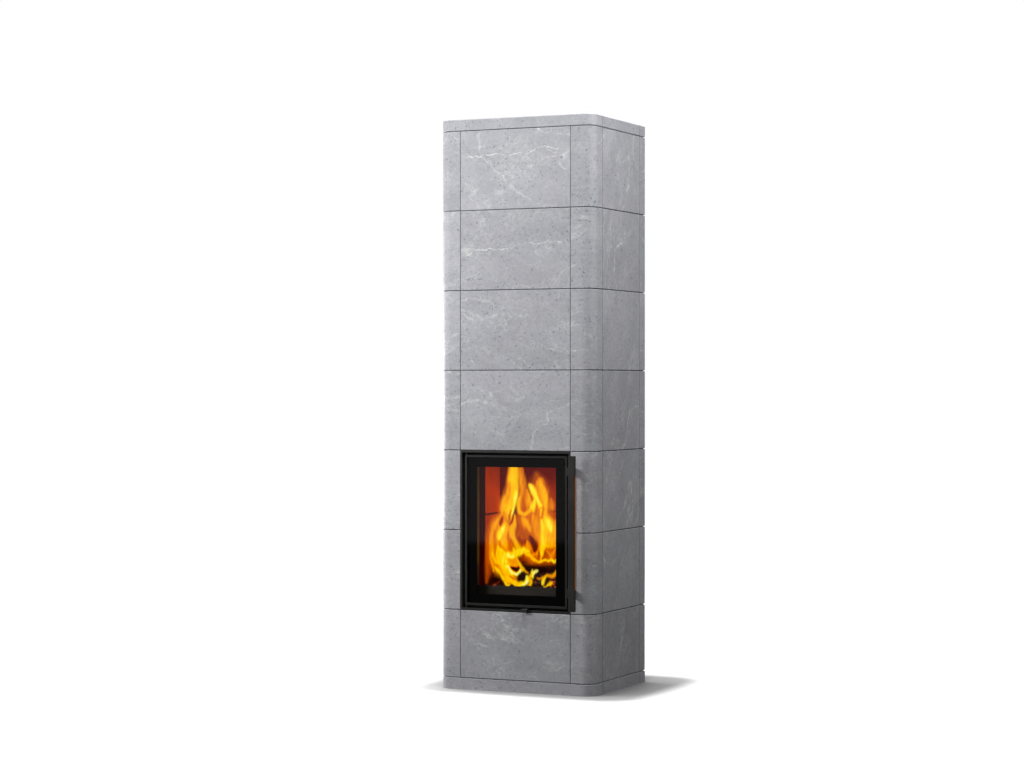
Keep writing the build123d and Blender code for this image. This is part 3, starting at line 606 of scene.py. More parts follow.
def lining_material(name, glow_colours, soot, joint=None, heart=FIRE_HEART, reach=0.42):
    """Sooty core stone with painted firelight: it emits a glow whose colours run from far to near the fire's
    heart.

    A dark line of soot lies along the joint at the height joint, and nothing glows under the hearth."""
    made, shader, place = material(name)
    # Painted firelight: the glow is emission set by the place's distance from the fire's heart.
    glow = use_group(firelight_look, Vector=place, Heart=heart, Reach=reach)["Glow"]
    stretched = place * (1.0, 1.0, 0.25)
    patches = noise(stretched, 30.0, 5.0, 0.65)
    uneven = ramp(noise(stretched, 22.0, 4.0, 0.6), (0.3, (0.72, 0.72, 0.72)), (0.7, (1.25, 1.25, 1.25)))
    lit = mix(1.0, ramp(glow, *glow_colours), uneven, "MULTIPLY")
    height = split(place)[2]
    if joint is not None:
        # Painted shade low on the walls: the glow fades below 0.40 m and is a dim red under 0.33 m.
        lit = mix(remap(height, 0.40, 0.33), lit, (0.020, 0.002, 0.001))
        wander = linear(noise(place, 20.0, 4.0, 0.6), 0.014, joint - 0.007)
        line = remap(abs(height - wander), 0.0045, 0.0015)
        lit = mix(line * 0.85, lit, (0.012, 0.002, 0.002))
    lit = mix(remap(height, HEARTH - 0.001, HEARTH - 0.004), lit, BLACK)
    thin_soot = tuple(2.2 * c for c in soot)
    feed(shader, Base_Color=mix(remap(patches, 0.35, 0.7), soot, thin_soot), Emission_Color=lit,
         Emission_Strength=1.0, Roughness=0.9, Specular_IOR_Level=0.05)
    relief(shader, patches, 0.2, 0.001)
    return made


def sawn_stone_material():
    """Unheated core stone: sawn soapstone, a little darker and plainer than the outer stones."""
    made, shader, place = material("sawn core stone")
    look = use_group(soapstone_look, Vector=place, Veins=0.6, Streaks=0.5, Stone=(0.24, 0.235, 0.23))
    feed(shader, Base_Color=look["Color"], Roughness=0.85)
    relief(shader, look["Height"], 0.5, 0.0008)
    return made


def mortar_material():
    """Joint mortar with fine sand, painted paler in the beds, which are the wider joints, to lift the shade
    that falls into them.
    """
    made, shader, place = material("joint mortar")
    sand = noise(place, 600.0, 3.0, 0.7)
    level = calc("FRACT", (split(place)[2] - (BASE_TOP - COURSE / 2)) / COURSE)
    # Painted light: the beds' mortar is 2.4 times paler than the upright joints', lifting the shade in their
    # recess.
    bed = abs(level - 0.5) < 0.012
    upright = ramp(sand, (0.3, (0.100, 0.101, 0.106)), (0.7, (0.185, 0.187, 0.195)))
    feed(shader, Base_Color=mix(bed, upright, upright * (2.4, 2.4, 2.4)), Roughness=0.95)
    relief(shader, sand, 0.5, 0.0005)
    return made


def board_material():
    """Pale insulation board with short fibres."""
    made, shader, place = material("insulation board")
    fibres = noise(place * (1.0, 0.2, 1.0), 300.0, 4.0, 0.7)
    feed(shader, Base_Color=ramp(fibres, (0.3, (0.45, 0.38, 0.27)), (0.7, (0.62, 0.55, 0.42))), Roughness=0.9)
    relief(shader, fibres, 0.4, 0.0008)
    return made


def glass_material():
    """Clear ceramic glass that lets lamps through."""
    made, shader, place = material("fire glass")
    haze = noise(place, 16.0, 4.0, 0.6)
    feed(shader, Base_Color=ramp(haze, (0.3, (0.97, 0.975, 0.97)), (0.7, (1.0, 1.0, 0.99))), Roughness=0.0,
         IOR=1.45, Transmission_Weight=1.0)
    clear = add_node(place.tree, "BsdfTransparent").outputs[0]
    shadow_ray = node_values(place.tree, "LightPath")["Is Shadow Ray"]
    feed(place.tree.nodes["Material Output"], Surface=mix_shaders(shadow_ray, shader.outputs[0], clear))
    return made


def woven_material(name, spacing):
    """Glass-fibre weave: two sets of slanting strands that cross along each leg of an upright ring, with
    painted shade between them.
    """
    made, shader, place = material(name)
    x, y, z = split(place)
    turn = 2 * math.pi / spacing
    outward = x + y
    rising = calc("SINE", (outward + z) * turn)
    falling = calc("SINE", (outward - z) * turn)
    height = linear(noise(place, 900.0, 3.0, 0.7), 0.6, calc("MAXIMUM", rising, falling))
    # Painted shade: the colour follows the height, near black down between the strands.
    strands = ramp(remap(height, -0.4, 1.4), (0.0, (0.012, 0.012, 0.012)), (1.0, (0.085, 0.083, 0.080)))
    feed(shader, Base_Color=strands, Roughness=0.95)
    relief(shader, height, 0.9, 0.0009)
    return made


def wood_material():
    """Oiled wood with an upright grain."""
    made, shader, place = material("oiled wood")
    rings = noise(place * (1.0, 1.0, 0.05), 260.0, 4.0, 0.6, 0.6)
    pores = noise(place * (1.0, 1.0, 0.03), 900.0, 2.0)
    brown = ramp(rings, (0.25, (0.24, 0.085, 0.024)), (0.5, (0.42, 0.170, 0.055)), (0.8, (0.56, 0.26, 0.10)))
    feed(shader, Base_Color=brown, Roughness=remap(pores, 0.3, 0.7, 0.38, 0.6))
    relief(shader, pores, 0.3, 0.0003)
    return made


def brushed_material(name, colour, stretch):
    """Brushed steel: fine streaks along one direction in both colour and roughness."""
    made, shader, place = material(name)
    streaks = noise(place * stretch, 900.0, 3.0, 0.6)
    feed(shader, Base_Color=ramp(streaks, (0.3, tuple(0.75 * c for c in colour)), (0.7, colour)),
         Roughness=remap(streaks, 0.3, 0.7, 0.28, 0.45), Metallic=1.0)
    relief(shader, streaks, 0.15, 0.0002)
    return made


def iron_material():
    """Grey iron from the foundry, browned by heat, with a sandy skin."""
    made, shader, place = material("cast iron")
    skin = noise(place, 380.0, 4.0, 0.65)
    heat = remap(noise(place, 22.0, 3.0), 0.4, 0.7)
    metal = ramp(skin, (0.3, (0.018, 0.016, 0.015)), (0.7, (0.050, 0.046, 0.043)))
    feed(shader, Base_Color=mix(heat, metal, (0.060, 0.034, 0.022)), Roughness=0.75)
    relief(shader, skin, 0.6, 0.0006)
    return made


def charred_material(name, ash):
    """Charred wood: black between cracks, glowing deep in them, with pale ash on what faces up."""
    made, shader, place = material(name)
    char = use_group(char_look, Vector=place, Scale=95.0)
    hot = remap(noise(place, 24.0, 3.0, 0.6), 0.50, 0.68)
    up = split(node_values(place.tree, "NewGeometry")["Normal"])[2]
    dusty = remap(up, 0.2, 0.9) * remap(char["Fibre"], 0.40, 0.7)
    black = ramp(char["Fibre"], (0.3, (0.005, 0.0025, 0.002)), (0.75, (0.030, 0.012, 0.008)))
    ember = calc("MAXIMUM", char["Crack"], remap(char["Fibre"], 0.60, 0.8)) * hot
    feed(shader, Base_Color=mix(dusty * ash, black, (0.085, 0.055, 0.038)),
         Emission_Color=ramp(ember, (0.0, (0.010, 0.0012, 0.0012)), (0.35, (0.10, 0.005, 0.004)),
                             (0.75, (0.40, 0.02, 0.006)), (1.0, (0.75, 0.14, 0.01))),
         Emission_Strength=0.8, Roughness=0.9, Specular_IOR_Level=0.08)
    relief(shader, char["Height"], 0.9, 0.003)
    return made


def ash_material():
    """Fine wood ash with charcoal crumbs."""
    made, shader, place = material("wood ash")
    soft = noise(place, 60.0, 5.0, 0.65)
    crumbs = node_values(place.tree, "TexVoronoi", {"Vector": place, "Scale": 210.0}, feature="F1")
    crumb = (split(crumbs["Color"])[0] > 0.75) * remap(crumbs["Distance"], 0.42, 0.25)
    grey = ramp(soft, (0.3, (0.012, 0.008, 0.007)), (0.7, (0.045, 0.030, 0.024)))
    feed(shader, Base_Color=mix(crumb, grey, (0.012, 0.010, 0.009)), Roughness=1.0)
    relief(shader, soft, 0.5, 0.002)
    return made


FLAME_COLOURS = [(0.0, (0.006, 0.001, 0.0008)), (0.10, (0.032, 0.0042, 0.002)), (0.20, (0.14, 0.013, 0.003)),
                 (0.32, (0.40, 0.050, 0.0003)), (0.42, (0.68, 0.128, 0.0)), (0.52, (0.86, 0.25, 0.0)),
                 (0.62, (0.98, 0.38, 0.0)), (0.72, (1.0, 0.53, 0.0)), (0.80, (1.0, 0.68, 0.004)),
                 (0.90, (1.0, 0.88, 0.045)), (1.0, (1.0, 0.93, 0.50))]


def flame_material():
    """Flame: its colour follows the sheet's warmth, broken by fine streaks, and its alpha the cover."""
    made, shader, place = material("flame")
    warmth, cover = [Value(add_node(place.tree, "Attribute", attribute_name=name).outputs["Fac"])
                     for name in ("warmth", "cover")]
    streaks = noise(place * (1.0, 1.0, 0.14), 260.0, 3.0, 0.55, 0.4)
    feed(shader, Emission_Color=ramp(warmth * linear(streaks, 0.16, 0.92), *FLAME_COLOURS), Alpha=cover,
         Base_Color=BLACK, Emission_Strength=1.08, Specular_IOR_Level=0.0, Roughness=1.0)
    return made


def dress(material_used, *names):
    """Gives CAD nodes a material."""
    for name in names:
        mesh = nodes[name].data
        mesh.materials.clear()
        mesh.materials.append(material_used)


front_names = [name for name in nodes if name.startswith("front_panel")]
corner_names = [f"corner_{side}_{n}" for side in ("left", "right") for n in range(1, 8)]
dress(soapstone_material("front soapstone", 1.0, 0.75, 0.75, 0.10, (0.10, 0.10, 1.0), drawn=True),
      *front_names, "rear_panels")
dress(soapstone_material("corner soapstone", 1.0, 0.7, 0.8, 0.30, (0.06, 0.06, 1.0), seed=2.0,
                         tilt=(0.0, 0.0, 0.0), bedding=(0.25, 0.25, 1.0), drawn=True),
      *corner_names, "rear_corners")
dress(soapstone_material("side soapstone", 1.0, 0.8, 0.8, 0.30, (1.0, 1.0, 0.07), seed=1.0,
                         tilt=(0.3, 0.0, 0.0), bedding=(1.0, 1.0, 0.45)),
      "side_panels_left", "side_panels_right")
dress(soapstone_material("slab soapstone", 0.0, 0.35, 0.8, 0.2, (0.08, 0.08, 1.0), seed=5.0),
      "base_slab_front", "base_slab_rear", "top_slab")
dress(sawn_stone_material(), "plinth_blocks", "upper_core_stones", "rear_core_stones", "core_ceiling")
# The linings, the jambs and the hearth carry painted firelight, emitted by place.
dress(lining_material("lit side lining",
                      [(0.0, (0.026, 0.0005, 0.0)), (0.20, (0.08, 0.002, 0.0)), (0.42, (0.165, 0.006, 0.0)),
                       (0.70, (0.43, 0.031, 0.0))], SOOT, SIDE_LINING_JOINT, (-0.156, -0.06, 0.50), 0.42),
      "firebox_side_linings")
dress(lining_material("lit back lining",
                      [(0.0, (0.02, 0.0, 0.0)), (0.25, (0.055, 0.001, 0.0)), (0.55, (0.12, 0.0005, 0.0)),
                       (0.85, (0.40, 0.024, 0.0))], SOOT, BACK_LINING_JOINT, (0.05, 0.02, 0.50), 0.40),
      "firebox_back_linings", "throat_blocks")
dress(lining_material("jamb stone", [(0.0, (0.004, 0.0, 0.0)), (0.3, (0.009, 0.0, 0.0)),
                                     (0.8, (0.026, 0.0, 0.0))], (0.003, 0.0015, 0.001)),
      "firebox_front_stones")
dress(lining_material("hearth stone", [(0.0, (0.01, 0.001, 0.001)), (0.5, (0.06, 0.008, 0.002)),
                                       (1.0, (0.15, 0.02, 0.002))], SOOT),
      "firebox_floor")
dress(mortar_material(), "mortar_joints")
dress(board_material(), "insulation_board")
dress(coated_material("door black", (0.0180, 0.0177, 0.0162), (0.032, 0.031, 0.029), 0.42, 0.32),
      "door_frame", "handle_brackets", "latch_tongue")
dress(coated_material("surround black", (0.0230, 0.0226, 0.0210), (0.038, 0.037, 0.035), 0.45, 0.32,
                      soot_and_fire_glow=True),
      "door_surround", "hinge_bushes", "air_slide_guides", "air_slide")
dress(coated_material("handle black", (0.0210, 0.0203, 0.0184), (0.032, 0.031, 0.028), 0.40, 0.32),
      "handle_bar")
dress(coated_material("heated steel", (0.0100, 0.0076, 0.0050), (0.018, 0.014, 0.009), 0.6, 0.15),
      "log_guard", "ash_pan")
dress(coated_material("flue paint", (0.012, 0.012, 0.012), (0.04, 0.04, 0.038), 0.6), "flue_collar")
dress(enamel_material(), "glass_border")
dress(brushed_material("screw steel", (0.20, 0.20, 0.20), (1.0, 0.2, 0.2)), "handle_screws", "hinge_pins")
dress(brushed_material("catch steel", (0.42, 0.42, 0.43), (0.2, 1.0, 1.0)), "catch_bracket", "catch_roller")
dress(glass_material(), "door_glass")
dress(wood_material(), "handle_grip")
dress(iron_material(), "grate")
charred = charred_material("charred wood", 0.25)
charcoal = charred_material("charcoal", 0.15)
ash = ash_material()
flame = flame_material()


# The door's seals
SEAL_TURNS = 48
SEAL_AROUND = 20


def seal_ring(name, node, width, corner, squareness, material_used):
    """A closed ring in place of a CAD seal: a superellipse swept along an upright rounded rectangle."""
    low, high = (np.array(end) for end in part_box(node))
    middle, half = (low + high) / 2, (high - low) / 2
    inner = half[[0, 2]] - width / 2 - corner
    turns = np.linspace(0, 2 * np.pi, SEAL_TURNS, endpoint=False) + np.pi / (2 * SEAL_TURNS)
    outward = np.stack([np.cos(turns), np.sin(turns)], -1)
    line = np.sign(outward) * inner + corner * outward
    angles = np.linspace(0, 2 * np.pi, SEAL_AROUND, endpoint=False)
    reach = (np.abs(np.cos(angles))**squareness + np.abs(np.sin(angles))**squareness)**(-1 / squareness)
    across = line[:, None] + outward[:, None] * (reach * np.cos(angles) * width / 2)[None, :, None]
    deep = np.broadcast_to(reach * np.sin(angles) * half[1], across.shape[:2])
    points = np.stack([across[..., 0], deep, across[..., 1]], -1) + middle
    piece = mesh_object(name, points, grid_quads(SEAL_TURNS, SEAL_AROUND, True, True))
    piece.data.materials.append(material_used)
    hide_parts(node)
    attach(piece, "door")


seal_ring("gasket_rope", "door_gasket", 0.008, 0.0080, 2.6, woven_material("braided rope", 0.0065))
seal_ring("glass_tape", "glass_seal", 0.009, 0.0065, 8.0, woven_material("seal tape", 0.0030))


# The fire
def picture_place(across, down, depth):
    """Where the camera's rays through places of the picture cross the upright plane y = depth."""
    slope = (np.asarray(across, float) - PICTURE_WIDTH / 2) / FOCAL_PIXELS
    fall = (PICTURE_HEIGHT / 2 - np.asarray(down, float)) / FOCAL_PIXELS
    sine, cosine = math.sin(CAMERA_TURN), math.cos(CAMERA_TURN)
    ray = np.stack(np.broadcast_arrays(cosine * slope - sine, sine * slope + cosine, fall), -1)
    reach = (depth - CAMERA_PLACE[1]) / ray[..., 1]
    return np.array(CAMERA_PLACE) + ray * reach[..., None]


def averaged(values):
    """Each value of a grid averaged with its neighbours, two steps down and one across."""
    for axis, reach in ((0, 2), (1, 1)):
        values = sum(np.roll(values, step, axis) for step in range(-reach, reach + 1)) / (2 * reach + 1)
    return values


def smooth_step(value, low, high):
    """0 at low and before it, 1 at high and past it, smooth between."""
    share = np.clip((value - low) / (high - low), 0, 1)
    return share**2 * (3 - 2 * share)


def painted(across, down, strokes):
    """Warmth and cover at places of the picture, from strokes painted one over another.

    A stroke covers fully near its middle line and falls smoothly to nothing past its half-width. The places
    wander by slow sines first, so that the edges lick."""
    stretched = np.stack([across / 2.2, down / 9.0], -1)
    x = across + 0.7 * waves(stretched, 2.6, 7) + 0.32 * waves(stretched, 1.1, 8)
    y = down + 1.05 * waves(stretched, 3.5, 9)
    warmth, cover = np.zeros_like(x), np.zeros_like(x)
    for heat, strength, softness, knots in strokes:
        line = through(knots, 16 * len(knots))
        half = np.maximum(line[:, 2], 0.25)
        margin = half.max() * 2.2 + 1
        near = ((x > line[:, 0].min() - margin) & (x < line[:, 0].max() + margin)
                & (y > line[:, 1].min() - margin) & (y < line[:, 1].max() + margin))
        away = np.hypot(x[near][:, None] - line[:, 0], y[near][:, None] - line[:, 1]) / half
        soft = min(1.0, 1.15 * softness)
        full, none = 1 - 0.95 * soft, 1 + soft * (0.55 + 0.25 / math.sqrt(max(half.mean(), 0.5)))
        share = smooth_step(away.min(1), none, full) * strength
        under = cover[near] * (1 - share)
        cover[near] = under + share
        warmth[near] = (warmth[near] * under + heat * share) / np.maximum(cover[near], 1e-6)
    streaks = waves(np.stack([x / 1.5 + 0.12 * waves(stretched, 1.5, 11), y / 14], -1), 1.6, 12, 20)
    streaks = streaks + 0.5 * waves(np.stack([x / 0.8, y / 9], -1), 1.2, 13, 20)
    warmth = warmth * (1 + 0.06 * streaks)
    smooth_cover = averaged(cover)
    return averaged(warmth * cover) / np.maximum(smooth_cover, 1e-4), smooth_cover


# Strokes: warmth, cover and softness, then knots of picture x and y with the half-width
BACK_FLAMES = [
    # broad glow behind
    (0.36, 0.75, 0.9, [(537, 476, 4), (538, 486, 9), (539, 496, 12), (539, 506, 14), (541, 518, 18),
        (542, 532, 19), (542, 546, 18), (542, 557, 16)]),
    (0.42, 1.00, 0.6, [(529, 510, 8), (529, 520, 13), (529, 530, 14), (530, 540, 13), (531, 550, 10),
        (534, 557, 6)]),
    (0.50, 0.90, 0.6, [(541, 480, 3), (541, 490, 6), (542, 500, 7), (543, 510, 7), (544, 520, 9),
        (546, 532, 11)]),
    # tall flame on the left
    (0.44, 0.90, 0.7, [(511, 470, 3), (508.5, 481, 2.5), (508, 490, 4), (507, 498, 5), (505, 505, 6),
        (503, 512, 5), (501, 518, 3)]),
    (0.66, 1.00, 0.35, [(514, 456, 4.2), (514, 470, 4.6), (514, 480, 5.2), (513.6, 488, 5.4), (512, 495, 6.2),
        (509.6, 502, 7.2), (507.5, 508, 7), (506, 514, 5), (505, 519, 2.6)]),
    (0.75, 0.90, 0.8, [(513, 458, 3), (513, 470, 3.4), (513.4, 480, 3.6), (514, 490, 3.4), (514, 498, 3.2),
        (511, 505, 3), (508, 511, 2)]),
    (0.56, 0.80, 0.7, [(510, 482, 1), (509.6, 490, 1.6), (508, 498, 1.5), (506, 504, 1.2)]),
    (0.92, 0.95, 0.8, [(516, 491, 0.8), (515.8, 497, 1.5), (515.4, 503, 1.7), (514, 508, 1.4),
        (512.4, 513, 1), (511.4, 517, 0.6)]),
    (0.36, 0.85, 0.7, [(510.8, 510, 0.6), (509.8, 514, 1.2), (508.8, 517.5, 1)]),
    # its dimmer right side
    (0.46, 0.90, 0.6, [(520, 458, 1.8), (521, 470, 2.4), (522.6, 480, 3.2), (523.4, 489, 3.8),
        (522.4, 497, 3.6), (521, 504, 3.4), (519.6, 511, 2.4)]),
    (0.58, 0.80, 0.8, [(519.6, 470, 0.8), (521.4, 480, 1.4), (521.8, 489, 1.6), (520.6, 497, 1.4),
        (519.4, 503, 1.2)]),
    (0.36, 0.90, 0.6, [(525.6, 495, 1), (525, 501, 2.4), (524.4, 506, 2.8), (523.4, 509.6, 2)]),
    # hook and the lobes above it
    (0.52, 0.95, 0.5, [(527, 490, 1), (528, 497, 2.8), (530, 504, 4), (532, 509, 3.6)]),
    (0.68, 0.95, 0.5, [(519.6, 498, 0.8), (518.8, 504, 1.4), (518.6, 509, 1.6), (520, 512.4, 1.8),
        (524, 513.4, 2), (528.6, 512, 2.2), (531.6, 509.6, 2.8), (533.4, 505, 2.6), (534.6, 500, 1.6),
        (534.8, 496, 0.6)]),
    (0.86, 0.90, 0.8, [(531, 504, 0.8), (532.2, 508, 2), (533.8, 504.6, 2), (534.8, 501, 1.2),
        (535, 498, 0.4)]),
    (0.62, 0.80, 0.8, [(528.4, 494, 0.8), (529, 500, 1.6), (530.4, 505, 1.8)]),
    # second and third flames
    (0.56, 0.95, 0.5, [(537.4, 481, 1), (539.4, 486, 3), (542, 492, 4), (543.6, 500, 4), (544, 508, 3.4),
        (544.6, 515, 3)]),
    (0.82, 1.00, 0.5, [(530.2, 484.6, 1.4), (532, 488, 3), (534.2, 493, 2.9), (537, 499, 2.2),
        (539.4, 505, 1.8), (540.8, 510, 1.3), (541.2, 516, 0.8)]),
    (0.92, 0.70, 0.9, [(531, 487, 0.8), (533.6, 491, 1.4), (536.4, 497, 1.3), (539, 503, 1.1)]),
    (0.68, 0.95, 0.5, [(539.6, 478.6, 0.6), (541.2, 484, 1.6), (543.4, 490, 2.6), (545, 497, 2.6),
        (545.4, 504, 2.1), (545.6, 510, 1.8), (546.2, 516, 2)]),
    (0.45, 0.85, 0.6, [(540.4, 508.6, 0.8), (543.4, 509, 1.6), (543, 513, 1.8), (543, 518, 1.4)]),
    (0.52, 0.70, 0.7, [(551.6, 499, 1), (551.8, 504, 2.4), (551.4, 508, 2)]),
    # centre
    (0.62, 0.95, 0.7, [(523.4, 518, 2), (526, 522, 3.2), (528, 526.6, 2.8), (529.6, 530.6, 1.6)]),
    (0.55, 0.90, 0.7, [(533.6, 516, 2.4), (535, 523, 3.6), (536.6, 530, 2.8), (539, 537, 1.8),
        (540.4, 544, 1.5), (538.6, 550, 1.4), (535.4, 554, 1.3), (532, 557, 1.2)]),
    (0.40, 0.80, 0.7, [(530.4, 517, 0.8), (530.8, 521, 1.5), (531, 524.6, 1)]),
    (0.34, 0.95, 0.7, [(517.6, 525, 2.4), (519.6, 531, 5), (523, 536.6, 7), (527, 539.6, 6)]),
    (0.26, 0.90, 0.7, [(519.6, 539, 1.4), (522.6, 542.4, 2.4), (526, 540.6, 2)]),
    (0.58, 0.90, 0.7, [(527.8, 540.4, 0.6), (527.6, 545, 2), (527.4, 549.6, 3.2), (527.4, 553, 3)]),
    (0.17, 1.00, 0.5, [(529.8, 536, 0.8), (531.8, 540, 2.5), (534.4, 544.6, 3.4), (535.2, 548.4, 2.4),
        (534.8, 551.6, 0.8)]),
    # right side
    (0.67, 1.00, 0.4, [(545.4, 511, 1.2), (547, 518, 3.6), (548.6, 525, 6.4), (549.8, 533, 8), (550, 540, 8),
        (548.6, 546, 5)]),
    (0.56, 0.70, 0.9, [(553.6, 522, 0.8), (553.4, 530, 1.6), (552.8, 537, 1.6)]),
    (0.74, 0.90, 0.8, [(544.8, 516, 1), (545.2, 524, 2), (545.4, 532, 2), (545.4, 540, 1.6)]),
    (0.90, 0.95, 0.7, [(546.6, 516.4, 0.8), (548.2, 521, 2.2), (549.8, 526, 2.4), (550.8, 531, 1.4)]),
    (0.80, 1.00, 0.5, [(542, 520, 0.8), (542.2, 528, 1.8), (542.8, 536, 2.3), (543, 543, 2.3),
        (542.4, 550, 1.9), (541.6, 556, 1.3), (541, 560, 0.8)]),
    (0.40, 1.00, 0.5, [(547, 548, 1.6), (550, 550.6, 3), (552, 553.6, 4), (550, 557, 3.4)]),
    (0.60, 0.80, 0.6, [(547, 541.6, 0.8), (550, 545, 1.2), (553.6, 546.6, 1.2), (560, 547, 1)]),
    (0.56, 0.80, 0.6, [(547.4, 549.6, 0.6), (550, 553.6, 0.9), (552, 558, 0.8)]),
    (0.56, 0.80, 0.6, [(555.6, 549, 0.6), (553, 553.6, 0.9), (551, 558, 0.8)]),
    (0.34, 0.90, 0.6, [(538.6, 552, 1.2), (538.8, 556, 2), (537, 559, 1.4)]),
    (0.62, 0.70, 0.8, [(557, 520, 2), (558, 530, 4), (559, 540, 4), (560, 548, 3)]),
    # along the back log
    (0.74, 0.95, 0.5, [(522, 551.6, 1.6), (526, 553.4, 1.4), (530, 555.4, 1.3), (533, 558, 1.4),
        (536, 560.8, 1.3), (540, 561.6, 1.1), (544.6, 561, 0.7)]),
    (0.84, 0.95, 0.5, [(540, 561.4, 0.7), (545, 560.6, 1), (548.4, 559.6, 1), (551, 559.8, 1.2),
        (553.6, 561.4, 1.5), (556.4, 559.6, 1.3), (559, 557, 0.8)]),
]
